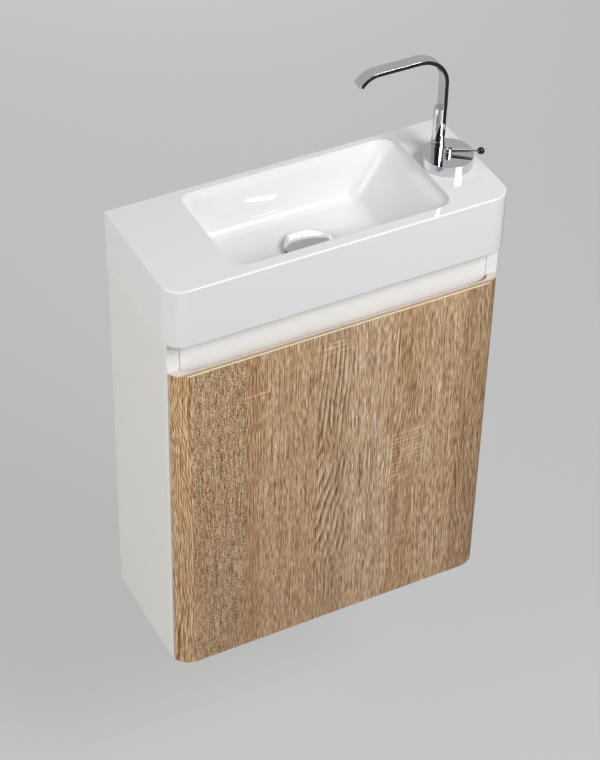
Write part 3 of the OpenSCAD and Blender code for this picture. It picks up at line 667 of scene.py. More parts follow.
    def layers(self, tree: NodeTree, flat: Feed, place: Feed, x: Feed, z: Feed) -> tuple[Layers, Layers]:
        """Layers of the print and of its relief.

        Args:
            tree: the material's node tree.
            flat: coordinates in metres.
            place: the grain's coordinates.
            x: place across the planks.
            z: height.

        Returns:
            The layers of ink and the pressed layers.
        """
        fibres, hairs, streaks, tufts = (
            add_node(tree, "ShaderNodeMath", {0: pattern, 1: 0.5}, operation="SUBTRACT")
            for pattern in (
                self.grain(tree, place, self.fibre_mm, 1.0),
                self.grain(tree, place, self.hair_mm, 0.0),
                self.grain(tree, place, self.streak_mm),
                self.tufts(tree, place),
            )
        )
        spread = {"Value": self.grain(tree, place, self.patch_mm), "To Min": self.patch_low}
        limits = {"From Min": self.patch_cut[0], "From Max": self.patch_cut[1]}
        patch = add_node(tree, "ShaderNodeMapRange", {**spread, **limits})
        ink = [(self.fibre_ink, [fibres]), (self.hair_ink, [hairs]), (self.streak_ink, [streaks])]
        press = [(self.fibre_press, [fibres]), (self.hair_press, [hairs])]
        for plank in self.planks:
            own = band(tree, x, plank.left * MM, plank.right * MM, self.plank_fade)
            if plank.rough:
                # The tufts hide much of the fibres that run through the other planks
                ink.append((self.tuft_ink * plank.rough, [tufts, own]))
                ink.append((self.hidden_ink * plank.rough, [fibres, own]))
                press.append((self.tuft_press * plank.rough, [tufts, own]))
            if plank.flame:
                tall = band(tree, z, plank.flame_end * MM, plank.flame_top * MM, self.flame_fade)
                ink.append((plank.flame, [self.rings(tree, place, plank), own, tall, patch]))
            if plank.seam:
                sides = ((plank.right - self.seam_half) * MM, (plank.right + self.seam_half) * MM)
                ink.append((self.seam_ink * plank.seam, [band(tree, x, *sides, self.seam_fade)]))
        marks = self.saw_marks(tree, flat)
        for left, right, low, high in self.bars:
            spot = band(tree, x, left * MM, right * MM, self.bar_fade)
            level = band(tree, z, low * MM, high * MM, self.bar_fade)
            ink.append((self.bar_ink, [marks, spot, level]))
        return ink, press

    def paint(self, tree: NodeTree) -> Inputs:
        """Print and emboss the planks.

        Args:
            tree: the material's node tree.

        Returns:
            What the shader's sockets get.
        """
        flat = place_of(tree)
        x, y, z = add_node(tree, "ShaderNodeSeparateXYZ", {"Vector": flat}).outputs
        place = self.swayed(tree, flat)
        ink, press = self.layers(tree, flat, place, x, z)
        colour = add_node(tree, "ShaderNodeValToRGB", {"Fac": self.stack(tree, ink)}, list(self.tints))
        # Painted shade: the print darkens towards the door's bottom, standing in for the dimmer light there
        painted_shade_fall = {"Value": z, "From Min": self.top * MM, "From Max": self.bottom * MM}
        drop = add_node(tree, "ShaderNodeMapRange", painted_shade_fall)
        for share, tint in ((1.0, self.across(tree, x)), (drop, self.shade)):
            inputs = {0: share, 6: colour, 7: tint}
            colour = add_node(tree, "ShaderNodeMix", inputs, data_type="RGBA", blend_type="MULTIPLY")
        deep = {"Value": self.grain(tree, place, self.pore_mm, 1.0), "To Max": self.pore_ink}
        limits = {"From Min": self.pore_cut[0], "From Max": self.pore_cut[1]}
        pores = add_node(tree, "ShaderNodeMapRange", {**deep, **limits})
        press.append((self.pore_press, [pores]))
        inked = add_node(tree, "ShaderNodeMix", {0: pores, 6: colour, 7: self.pore}, data_type="RGBA")
        inner = add_node(tree, "ShaderNodeMath", {0: y, 1: self.back * MM}, operation="GREATER_THAN")
        inputs = {0: inner, 6: self.edge_highlight_and_shade(tree, inked, y, z), 7: self.white}
        relief = {"Height": self.stack(tree, press), "Strength": self.strength, "Distance": self.relief}
        return {
            "Base Color": add_node(tree, "ShaderNodeMix", inputs, data_type="RGBA"),
            "Roughness": self.roughness,
            "Normal": add_node(tree, "ShaderNodeBump", relief),
            "IOR": self.ior,
        }


@dataclass(frozen=True)
class ChromePlate:
    """Polished brass with bright nickel and chrome: a cool mirror with faint wiping marks."""

    name: str = "chrome_plate"
    colour: str = "D9DBDD"
    roughness: Pair = (0.0315, 0.063)
    wipe_mm: float = 9.0

    def paint(self, tree: NodeTree) -> Inputs:
        """Paint the mirror and its wiping marks.

        Args:
            tree: the material's node tree.

        Returns:
            What the shader's sockets get.
        """
        inputs = {"Vector": place_of(tree), "Scale": per_mm(self.wipe_mm), "Detail": 3.0}
        wipe = add_node(tree, "ShaderNodeTexNoise", inputs)
        dull = {"Value": wipe, "To Min": self.roughness[0], "To Max": self.roughness[1]}
        return {
            "Base Color": self.colour,
            "Metallic": 1.0,
            "Roughness": add_node(tree, "ShaderNodeMapRange", dull),
        }


@dataclass(frozen=True)
class BarrelMetal:
    """Tumble-plated or machined small metal: a soft sheen broken by fine random scratches.

    Real tumbling marks are about 0.1 mm wide. They are drawn 0.8 mm wide because finer ones don't show.
    """

    name: str
    colour: str
    roughness: Pair
    scratch_mm: float = 0.8
    strength: float = 0.2
    depth: float = 0.00003

    def paint(self, tree: NodeTree) -> Inputs:
        """Paint the metal and its scratches.

        Args:
            tree: the material's node tree.

        Returns:
            What the shader's sockets get.
        """
        inputs = {"Vector": place_of(tree), "Scale": per_mm(self.scratch_mm), "Detail": 4.0}
        scratch = add_node(tree, "ShaderNodeTexNoise", {**inputs, "Roughness": 0.7})
        dull = {"Value": scratch, "To Min": self.roughness[0], "To Max": self.roughness[1]}
        relief = {"Height": scratch, "Strength": self.strength, "Distance": self.depth}
        return {
            "Base Color": self.colour,
            "Metallic": 1.0,
            "Roughness": add_node(tree, "ShaderNodeMapRange", dull),
            "Normal": add_node(tree, "ShaderNodeBump", relief),
        }


@dataclass(frozen=True)
class TurnedBrass:
    """Free-cutting brass left as turned: warm and half bright, with fine rings from the tool.

    Real feed marks are about 0.1 mm apart. They are drawn 0.6 mm apart because finer ones don't show.
    """

    name: str = "turned_brass"
    tints: tuple[tuple[float, str], ...] = ((0.35, "B38F54"), (0.6, "C8A765"))
    roughness: float = 0.24
    ring_mm: float = 0.6
    stain_mm: float = 9.0
    strength: float = 0.3
    depth: float = 0.00003

    def paint(self, tree: NodeTree) -> Inputs:
        """Paint the stained brass and its feed marks.

        Args:
            tree: the material's node tree.

        Returns:
            What the shader's sockets get.
        """
        place = place_of(tree)
        inputs = {"Vector": place, "Scale": per_mm(self.stain_mm), "Detail": 3.0}
        stain = add_node(tree, "ShaderNodeTexNoise", inputs)
        rings = add_node(
            tree, "ShaderNodeTexWave",
            {"Vector": place, "Scale": wave_of(self.ring_mm), "Distortion": 0.6, "Detail": 1.0},
            wave_type="BANDS", bands_direction="Z",
        )
        relief = {"Height": rings.outputs["Fac"], "Strength": self.strength, "Distance": self.depth}
        return {
            "Base Color": add_node(tree, "ShaderNodeValToRGB", {"Fac": stain}, list(self.tints)),
            "Metallic": 1.0,
            "Roughness": self.roughness,
            "Normal": add_node(tree, "ShaderNodeBump", relief),
        }


@dataclass(frozen=True)
class BeechWood:
    """Beech dowels, planed and pressed: pale and pinkish, with straight grain and short dark flecks."""

    name: str = "beech_wood"
    tints: tuple[tuple[float, str], ...] = ((0.35, "C39D72"), (0.62, "DDBE97"))
    fleck: str = "8E6240"
    roughness: float = 0.62
    grain_mm: Triple = (30.0, 0.7, 0.7)
    fleck_mm: Triple = (2.6, 0.5, 0.5)
    fleck_cut: Pair = (0.62, 0.68)
    ior: float = 1.5
    strength: float = 0.3
    depth: float = 0.00005

    def paint(self, tree: NodeTree) -> Inputs:
        """Paint the grain and the flecks.

        Args:
            tree: the material's node tree.

        Returns:
            What the shader's sockets get.
        """
        along, short = (
            add_node(
                tree, "ShaderNodeTexNoise", {"Vector": place_of(tree, size), "Scale": 1.0, "Detail": 2.0}
            )
            for size in (self.grain_mm, self.fleck_mm)
        )
        tint = add_node(tree, "ShaderNodeValToRGB", {"Fac": along}, list(self.tints))
        limits = {"Value": short, "From Min": self.fleck_cut[0], "From Max": self.fleck_cut[1]}
        dots = add_node(tree, "ShaderNodeMapRange", limits)
        colour = add_node(tree, "ShaderNodeMix", {0: dots, 6: tint, 7: self.fleck}, data_type="RGBA")
        relief = {"Height": along, "Strength": self.strength, "Distance": self.depth}
        return {
            "Base Color": colour,
            "Roughness": self.roughness,
            "Normal": add_node(tree, "ShaderNodeBump", relief),
            "IOR": self.ior,
        }


@dataclass(frozen=True)
class MouldedPolymer:
    """Injection-moulded plastic or rubber: an even skin with the fine spark texture of its tool.

    A real spark texture is about 0.1 mm coarse. It is drawn 0.7 mm coarse because a finer one doesn't show.
    """

    name: str
    colour: str
    shade: str
    roughness: float
    texture_mm: float = 0.7
    shade_cut: Pair = (0.3, 0.7)
    ior: float = 1.5
    strength: float = 0.3
    depth: float = 0.00003
    clear: float = 0.0

    def paint(self, tree: NodeTree) -> Inputs:
        """Paint the moulded skin.

        Args:
            tree: the material's node tree.

        Returns:
            What the shader's sockets get.
        """
        inputs = {"Vector": place_of(tree), "Scale": per_mm(self.texture_mm), "Detail": 2.0}
        skin = add_node(tree, "ShaderNodeTexNoise", inputs)
        relief = {"Height": skin, "Strength": self.strength, "Distance": self.depth}
        stops = [(self.shade_cut[0], self.shade), (self.shade_cut[1], self.colour)]
        return {
            "Base Color": add_node(tree, "ShaderNodeValToRGB", {"Fac": skin}, stops),
            "Roughness": self.roughness,
            "Normal": add_node(tree, "ShaderNodeBump", relief),
            "IOR": self.ior,
            "Transmission Weight": self.clear,
        }


class Coat(Enum):
    """The finishes that this object's pieces have."""

    GLAZE = SanitaryGlaze()
    BOARD = MelamineBoard()
    # Painted light: the rail's copy of the board is a lighter white than the side boards, to make up for the
    # shade under the basin's overhang
    RAIL_LIT = MelamineBoard("rail_board", "F1F0EE", "EEEFF0", band_to=-1.0)
    OAK = OakDecor()
    CHROME = ChromePlate()
    NICKEL = BarrelMetal("nickel_steel", "C2BFB6", (0.18, 0.312))
    ZINC = BarrelMetal("zinc_steel", "B4B8BA", (0.24, 0.416))
    BRASS = TurnedBrass()
    BEECH = BeechWood()
    RUBBER = MouldedPolymer("epdm_rubber", "1E1F20", "161718", 0.7)
    BLACK = MouldedPolymer("black_abs", "0D0D0E", "0B0B0C", 0.12, depth=0.00001)
    NYLON = MouldedPolymer("white_nylon", "E8E8E6", "E2E2E0", 0.4)
    PAD = MouldedPolymer("clear_pad", "EEF1F0", "E6EAE9", 0.28, clear=0.85)


# Mesh helpers


def ring_of(x: Pair, y: Pair, z: float, radii: tuple[float, float, float, float]) -> list[Vector]:
    """Points of a rounded rectangle at one level, always in the same number and order.

    Args:
        x: left and right side in mm.
        y: front and back side in mm.
        z: level in mm.
        radii: radii in mm of the front right, back right, back left and front left corner.

    Returns:
        The points in metres, counter-clockwise seen from above.
    """
    corners = [(x[1], y[0], -90), (x[1], y[1], 0), (x[0], y[1], 90), (x[0], y[0], 180)]
    out = []
    for (cx, cy, turn), radius in zip(corners, radii):
        mx = cx - radius if cx == x[1] else cx + radius
        my = cy - radius if cy == y[1] else cy + radius
        for angle in angles(turn, 90, CORNER_STEPS):
            out.append(Vector((mx + radius * math.cos(angle), my + radius * math.sin(angle), z)) * MM)
    return out


def circle(steps: int) -> list[Pair]:
    """Cosine and sine of evenly spaced turns, once round."""
    return [(math.cos(math.tau * k / steps), math.sin(math.tau * k / steps)) for k in range(steps)]


def mesh_from(name: str, points: list[Vector], faces: list[tuple[int, ...]], smooth: bool = True) -> Mesh:
    """Make a mesh with all its normals outward.

    Args:
        name: the mesh's name.
        points: its vertices in metres.
        faces: its faces as indices.
        smooth: whether its faces are shaded smooth.

    Returns:
        The mesh.
    """
    mesh = bpy.data.meshes.new(name)
    mesh.from_pydata([tuple(point) for point in points], [], faces)
    work = bmesh.new()
    work.from_mesh(mesh)
    bmesh.ops.remove_doubles(work, verts=work.verts, dist=SAME_POINT)
    bmesh.ops.recalc_face_normals(work, faces=work.faces)
    for face in work.faces:
        face.smooth = smooth
    work.to_mesh(mesh)
    work.free()
    return mesh


def add_piece(name: str, mesh: Mesh, material: Material | None = None) -> Object:
    """Put a mesh into the scene.

    Args:
        name: the object's name.
        mesh: its mesh.
        material: its material, if it has one.

    Returns:
        The object.
    """
    piece = bpy.data.objects.new(name, mesh)
    bpy.context.collection.objects.link(piece)
    if material:
        mesh.materials.append(material)
    return piece


def loft(name: str, rings: list[list[Vector]], closed: bool = False) -> Mesh:
    """Mesh of matching rings joined with quads.

    Args:
        name: the mesh's name.
        rings: rings of points in metres, all of the same length.
        closed: True joins the last ring to the first, False caps both ends.

    Returns:
        The mesh.
    """
    count = len(rings[0])
    points = [point for ring in rings for point in ring]
    faces = []
    for level in range(len(rings) if closed else len(rings) - 1):
        low = level * count
        high = (level + 1) % len(rings) * count
        for k in range(count):
            after = (k + 1) % count
            faces.append((low + k, low + after, high + after, high + k))
    if not closed:
        faces.append(tuple(reversed(range(count))))
        faces.append(tuple(range(len(points) - count, len(points))))
    return mesh_from(name, points, faces)


def slab(name: str, plan: list[Pair], low: float, high: float) -> Mesh:
    """Closed mesh of a plan outline between two levels, all in mm."""
    return loft(name, [[Vector((x, y, z)) * MM for x, y in plan] for z in (low, high)])


def rod(start: Triple, end: Triple, radius: float, steps: int = 48) -> Object:
    """Closed round bar that is used as a cutter, in mm.

    Args:
        start: middle of one end.
        end: middle of the other end.
        radius: the bar's radius.
        steps: segments round it.

    Returns:
        The bar.
    """
    along = Vector(end) - Vector(start)
    side = along.orthogonal().normalized()
    other = along.normalized().cross(side)
    rings = [
        [(Vector(centre) + (side * cos + other * sin) * radius) * MM for cos, sin in circle(steps)]
        for centre in (start, end)
    ]
    return add_piece("cutter", loft("cutter", rings))


def cut_away(piece: Object, cutters: list[Object]) -> None:
    """Subtract closed cutters from a piece and delete them.

    Args:
        piece: the object that is cut.
        cutters: the objects that are subtracted.
    """
    for cutter in cutters:
        change = piece.modifiers.new("cut", "BOOLEAN")
        change.operation = "DIFFERENCE"
        change.solver = "EXACT"
        change.object = cutter
        graph = bpy.context.evaluated_depsgraph_get()
        graph.update()
        old = (piece.data, cutter.data)
        cut = bpy.data.meshes.new_from_object(piece.evaluated_get(graph))
        piece.modifiers.clear()
        piece.data = cut
        bpy.data.objects.remove(cutter)
        for mesh in old:
            bpy.data.meshes.remove(mesh)


def smooth_group() -> NodeTree:
    """Modifier group that shades smooth every edge flatter than SMOOTH_ANGLE.

    Returns:
        The group, made once and shared.
    """
    name = "smooth_by_angle"
    if name in bpy.data.node_groups:
        return bpy.data.node_groups[name]
    tree = bpy.data.node_groups.new(name, "GeometryNodeTree")
    for way in ("INPUT", "OUTPUT"):
        tree.interface.new_socket("Geometry", in_out=way, socket_type="NodeSocketGeometry")
    start = add_node(tree, "NodeGroupInput")
    edge = add_node(tree, "GeometryNodeInputMeshEdgeAngle").outputs["Unsigned Angle"]
    limit = {0: edge, 1: math.radians(SMOOTH_ANGLE)}
    flat = add_node(tree, "FunctionNodeCompare", limit, data_type="FLOAT", operation="LESS_THAN")
    shape = start
    for smooth, domain in ((True, "FACE"), (flat, "EDGE")):
        inputs = {"Geometry": shape, "Shade Smooth": smooth}
        shape = add_node(tree, "GeometryNodeSetShadeSmooth", inputs, domain=domain)
    add_node(tree, "NodeGroupOutput", {0: shape})
    return tree


def soften(piece: Object, width_mm: float, segments: int = 3) -> None:
    """Round the sharp edges of a piece and keep its flat faces flat.

    Args:
        piece: the object.
        width_mm: radius of the rounding.
        segments: steps across it.
    """
    piece.modifiers.new("join", "WELD").merge_threshold = WELD
    flats = piece.modifiers.new("flats", "DECIMATE")
    flats.decimate_type = "DISSOLVE"
    flats.angle_limit = math.radians(FLAT_ANGLE)
    bevel = piece.modifiers.new("edge", "BEVEL")
    bevel.width = width_mm * MM
    bevel.segments = segments
    bevel.limit_method = "ANGLE"
    bevel.angle_limit = math.radians(SHARP_ANGLE)
    piece.modifiers.new("smooth", "NODES").node_group = smooth_group()
    piece.modifiers.new("normals", "WEIGHTED_NORMAL").keep_sharp = True


# Sub-assemblies


@dataclass
class SubAssembly:
    frame: dict

    def dress(self, coat: Coat, edge_mm: float, *nodes: str, segments: int = 3) -> None:
        """Give CAD nodes their finish and the small rounding of their edges.

        Args:
            coat: their finish.
            edge_mm: radius of their edges.
            nodes: the nodes' names.
            segments: steps across each edge.
        """
        finish = material_of(coat.value)
        for node in nodes:
            piece = self.frame["nodes"][node]
            piece.data.materials.clear()
            piece.data.materials.append(finish)
            soften(piece, edge_mm, segments)
            LOG.info("%s: %s, edges %.2f mm", node, finish.name, edge_mm)


@dataclass
class GlazedBasin(SubAssembly):
    """Slip-cast basin with a hollow skirt, a flat deck and a bowl whose right end slopes."""

    width: float = 450
    depth: float = 180
    rim: float = 140
    height: float = 82
    corner: float = 25
    wall_corner: float = 2.5
    least_corner: float = 1
    least_wall_corner: float = 0.5
    least_floor_corner: float = 0.6
    skirt: float = 9
    skirt_edge: float = 0.8
    deck: float = 11
    edge: float = 1.9
    foot_edge: float = 2.4
    lip: float = 3.2
    lip_share: float = 0.06
    bowl_x: Pair = (-135.5, 153)
    bowl_y: Pair = (-165, -9)
    rim_corner: float = 20
    floor: float = 72
    floor_corner: float = 16
    lean: float = 8
    right_run: float = 48
    shell: float = 9
    shell_bond: float = 0.3
    corner_power: int = 12
    waste: Pair = (0, -90)
    waste_hole: float = 45.9
    waste_seat: float = 8
    tap: Pair = (185.4, -89.5)
    tap_hole: float = 35
    bolt_x: float = 180
    bolt_z: float = 95
    bolt_hole: float = 12
    tap_overrun: float = 5
    bolt_reach: Pair = (-12, 3)
    edge_steps: int = 5
    skirt_steps: int = 4
    lip_steps: int = 4
    wall_steps: int = 8

    def skirt_ring(self, inset: float, z: float) -> list[Vector]:
        """Ring of the outer wall.

        Args:
            inset: how far it is moved inwards in mm.
            z: its level in mm.

        Returns:
            The ring's points.
        """
        front = max(self.corner - inset, self.least_corner)
        back = max(self.wall_corner - inset, self.least_wall_corner)
        half = self.width / 2 - inset
        return ring_of((-half, half), (-self.depth + inset, -inset), z, (front, back, back, front))

    def bowl_ring(self, grow: float, drop: float, spread: float = 0) -> list[Vector]:
        """Ring of the bowl's wall at a depth below the rim.

        Args:
            grow: 0 for the hollow, the shell's thickness for its outside.
            drop: depth below the rim, as a share of the whole straight wall.
            spread: how far the ring is moved outwards, for the rounded lip.

        Returns:
            The ring's points.
        """
        floor_r = self.floor_corner + grow
        rise = self.rim - self.floor - self.floor_corner
        runs = (self.lean, self.right_run, self.lean, self.lean)
        walls = [self.wall_point(run + floor_r, rise, floor_r, drop) for run in runs]
        sides = [side - spread - grow for side, _ in walls]
        x = (self.bowl_x[0] + sides[0], self.bowl_x[1] - sides[1])
        y = (self.bowl_y[0] + sides[2], self.bowl_y[1] - sides[3])
        if grow:
            # The bowl's outside melts into the skirt in front and at the wall
            bond = self.skirt + self.shell_bond
            y = (max(y[0], -self.depth + bond), min(y[1], -bond))
        turn = min(max(drop, 0), 1)
        radius = (self.rim_corner + grow) * (1 - turn) + floor_r * turn + spread
        if drop > 1:
            radius = max(floor_r * math.cos(math.radians(90 * (drop - 1))), self.least_floor_corner)
        return self.tilt(ring_of(x, y, 0, (radius,) * 4), x, y, [level for _, level in walls])

    def wall_point(self, run: float, rise: float, radius: float, drop: float) -> Pair:
        """Point on one wall's section: a straight line tangent to the fillet, then the fillet.

        Args:
            run: distance from the rim to the fillet's centre.
            rise: height of the rim above that centre.
            radius: the fillet's radius.
            drop: 0 to 1 runs down the straight part, 1 to 2 round the fillet.

        Returns:
            Distance in from the rim and depth below it.
        """
        reach = math.hypot(run, rise)
        slope = math.atan2(rise, run) + math.asin(radius / reach)
        if drop <= 1:
            length = math.sqrt(reach * reach - radius * radius) * drop
            return length * math.cos(slope), length * math.sin(slope)
        turn = math.pi / 2 + slope * (2 - drop)
        return run + radius * math.cos(turn), rise + radius * math.sin(turn)

    def tilt(self, ring: list[Vector], x: Pair, y: Pair, levels: list[float]) -> list[Vector]:
        """Give each point of a ring the depth of the wall it belongs to, blended round the corners.

        Args:
            ring: the points.
            x: left and right side of the ring in mm.
            y: its front and back side in mm.
            levels: depth of the left, right, front and back wall in mm.

        Returns:
            The points at their depths.
        """
        middle = Vector((x[0] + x[1], y[0] + y[1])) / 2 * MM
        half = Vector((x[1] - x[0], y[1] - y[0])) / 2 * MM
        out = []
        for point in ring:
            across = (point.x - middle.x) / half.x
            along = (point.y - middle.y) / half.y
            walls = (levels[1] if across > 0 else levels[0], levels[3] if along > 0 else levels[2])
            pulls = (abs(across) ** self.corner_power, abs(along) ** self.corner_power)
            depth = (walls[0] * pulls[0] + walls[1] * pulls[1]) / max(sum(pulls), 1e-9)
            out.append(Vector((point.x, point.y, (self.rim - depth) * MM)))
        return out

    def lip_ring(self, turn: float) -> list[Vector]:
        """Ring on the rounded lip between the deck and the bowl's wall.

        Args:
            turn: angle in radians, from upright at the deck to level at the wall.

        Returns:
            The ring's points.
        """
        spread = self.lip * (1 - math.cos(math.pi / 2 - turn))
        level = self.rim - self.lip * (1 - math.sin(turn))
        return [Vector((point.x, point.y, level * MM)) for point in self.bowl_ring(0, 0, spread)]

    def waste_ring(self, radius: float, z: float, count: int) -> list[Vector]:
        """Circle round the waste with points that match the other rings.

        Args:
            radius: its radius in mm.
            z: its level in mm.
            count: its number of points.

        Returns:
            The circle's points.
        """
        out = []
        for k in range(count):
            angle = math.radians(-90 + 360 * (k + 0.5) / count)
            x = self.waste[0] + radius * math.cos(angle)
            out.append(Vector((x, self.waste[1] + radius * math.sin(angle), z)) * MM)
        return out

    def rings(self) -> list[list[Vector]]:
        """Rings of the whole basin.

        Returns:
            Rings from the foot up the skirt, over the deck, through the bowl and back inside the skirt.
        """
        foot = self.rim - self.height
        rings = []
        for turn in angles(0, 90, self.edge_steps):
            inset = self.foot_edge * (1 - math.sin(turn))
            rings.append(self.skirt_ring(inset, foot + self.foot_edge * (1 - math.cos(turn))))
        straight = self.height - self.foot_edge - self.edge
        for step in range(1, self.skirt_steps):
            rings.append(self.skirt_ring(0, foot + self.foot_edge + straight * step / self.skirt_steps))
        for turn in angles(0, 90, self.edge_steps):
            inset = self.edge * (1 - math.cos(turn))
            rings.append(self.skirt_ring(inset, self.rim - self.edge * (1 - math.sin(turn))))
        rings += [self.lip_ring(turn) for turn in angles(90, -90, self.lip_steps)]
        steps = self.wall_steps
        shares = [self.lip_share + (1 - self.lip_share) * step / steps for step in range(1, steps + 1)]
        shares += [step / steps for step in range(steps + 1, 2 * steps + 1)]
        rings += [self.bowl_ring(0, share) for share in shares]
        hole = self.waste_hole / 2
        under = self.floor - self.shell
        for radius, level in ((hole + self.waste_seat, self.floor), (hole, self.floor), (hole, under)):
            rings.append(self.waste_ring(radius, level, len(rings[0])))
        rings += [self.bowl_ring(self.shell, step / steps) for step in range(2 * steps, 1, -1)]
        rings.append(self.skirt_ring(self.skirt, self.rim - self.deck))
        rings.append(self.skirt_ring(self.skirt, foot + self.skirt_edge))
        rings.append(self.skirt_ring(self.skirt - self.skirt_edge, foot))
        return rings

    def build(self) -> None:
        """Build the basin as one closed mesh with its holes."""
        shell = loft("basin_shell", self.rings(), True)
        piece = add_piece("glazed_basin", shell, material_of(Coat.GLAZE.value))
        levels = (self.rim - self.deck - self.tap_overrun, self.rim + self.tap_overrun)
        cutters = [rod(*((*self.tap, z) for z in levels), self.tap_hole / 2)]
        for x in (-self.bolt_x, self.bolt_x):
            cutters.append(rod(*((x, y, self.bolt_z) for y in self.bolt_reach), self.bolt_hole / 2))
        cut_away(piece, cutters)
        piece.modifiers.new("normals", "WEIGHTED_NORMAL").keep_sharp = True
        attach(piece, "cabinet")
        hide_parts("basin")
        LOG.info("glazed_basin: cast shell with its holes")


@dataclass
class Carcass(SubAssembly):
    """White boards of the cabinet with their dowels, shelf and shelf pins."""

    board_edge: float = 0.5
    dowel_edge: float = 0.6
    pin_edge: float = 0.4

    def build(self) -> None:
        """Dress the boards and what joins them."""
        self.dress(Coat.BOARD, self.board_edge, "side_panel_left", "side_panel_right", "bottom_panel",
                   "rear_top_rail", "rear_bottom_rail", "inner_shelf")
        self.dress(Coat.RAIL_LIT, self.board_edge, "front_rail")
        self.dress(Coat.BEECH, self.dowel_edge, "panel_dowels", segments=2)
        self.dress(Coat.NICKEL, self.pin_edge, "shelf_pins")


@dataclass
class OakDoor(SubAssembly):
    """One-piece door with rounded front corners and a finger scoop behind its thin lip."""

    half: float = 223
    front: float = -180
    back: float = -164
    top: float = 15
    bottom: float = -467.5
    corner: float = 28
    scoop: float = 24
    lip: float = 7.4
    scoop_half: float = 191
    scoop_end: float = 19
    edge: float = 0.7
    arc_steps: int = 24
    hinge_levels: Pair = (-387.5, -65)
    pockets: tuple[Triple, Triple] = ((194.8, 215.2, -170.4), (194.8, 209.2, -173.5))
    pocket_half: float = 5.6
    screw_x: float = 187.3
    screw_rise: float = 10
    screw_hole: float = 3
    screw_depth: float = 9
    screw_steps: int = 24
    overrun: float = 2
    scoop_overrun: float = 5

    def arcs(self, middle: Pair, radius: float, sweep: float) -> list[Pair]:
        """Plan outline of two mirrored arcs that start at the front, from the left end to the right end.

        Args:
            middle: centre of the right arc in mm.
            radius: its radius.
            sweep: how far it turns, in degrees.

        Returns:
            The outline's points in mm.
        """
        right = [
            (middle[0] + radius * math.cos(angle), middle[1] + radius * math.sin(angle))
            for angle in angles(-90, sweep, self.arc_steps)
        ]
        return [(-x, y) for x, y in reversed(right)] + right

    def cutters(self) -> list[Object]:
        """Cutters of the scoop and of the hinges' pockets and screw holes.

        Returns:
            The cutters.
        """
        scoop = self.arcs((self.scoop_half, self.front + self.lip + self.scoop_end), self.scoop_end, 90)
        meshes = [slab("scoop", scoop, self.top - self.scoop, self.top + self.scoop_overrun)]
        holes = []
        back = self.back + self.overrun
        for level in self.hinge_levels:
            for left, right, floor in self.pockets:
                plan = [(left, floor), (right, floor), (right, back), (left, back)]
                meshes.append(slab("pocket", plan, level - self.pocket_half, level + self.pocket_half))
            for z in (level - self.screw_rise, level + self.screw_rise):
                ends = ((self.screw_x, self.back - self.screw_depth, z), (self.screw_x, back, z))
                holes.append(rod(*ends, self.screw_hole / 2, self.screw_steps))
        return [add_piece(mesh.name, mesh) for mesh in meshes] + holes

    def build(self) -> None:
        """Build the door."""
        rise = self.front + self.corner - self.back
        sweep = 90 - math.degrees(math.asin(rise / self.corner))
        plan = self.arcs((self.half - self.corner, self.front + self.corner), self.corner, sweep)
        board = slab("oak_door", plan, self.bottom, self.top)
        piece = add_piece("oak_door", board, material_of(Coat.OAK.value))
        cut_away(piece, self.cutters())
        soften(piece, self.edge)
        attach(piece, "door")
        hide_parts("door_panel")
        LOG.info("oak_door: door board with its scoop and pockets")


@dataclass
class DoorFittings(SubAssembly):
    """Concealed hinges, magnetic catch and door pads."""

    pressed_edge: float = 0.2
    pin_edge: float = 0.12
    case_edge: float = 0.6

    def build(self) -> None:
        """Dress the fittings."""
        self.dress(Coat.NICKEL, self.pressed_edge, "hinge_arms", "hinge_links", "hinge_cups",
                   "strike_plate")
        self.dress(Coat.ZINC, self.pin_edge, "hinge_arm_pins", "hinge_cup_pins", "hinge_arm_screws",
                   "hinge_cup_screws", "catch_screws", "strike_screw", segments=2)
        self.dress(Coat.NYLON, self.case_edge, "magnetic_catch")
        self.dress(Coat.PAD, self.pressed_edge, "door_buffers")


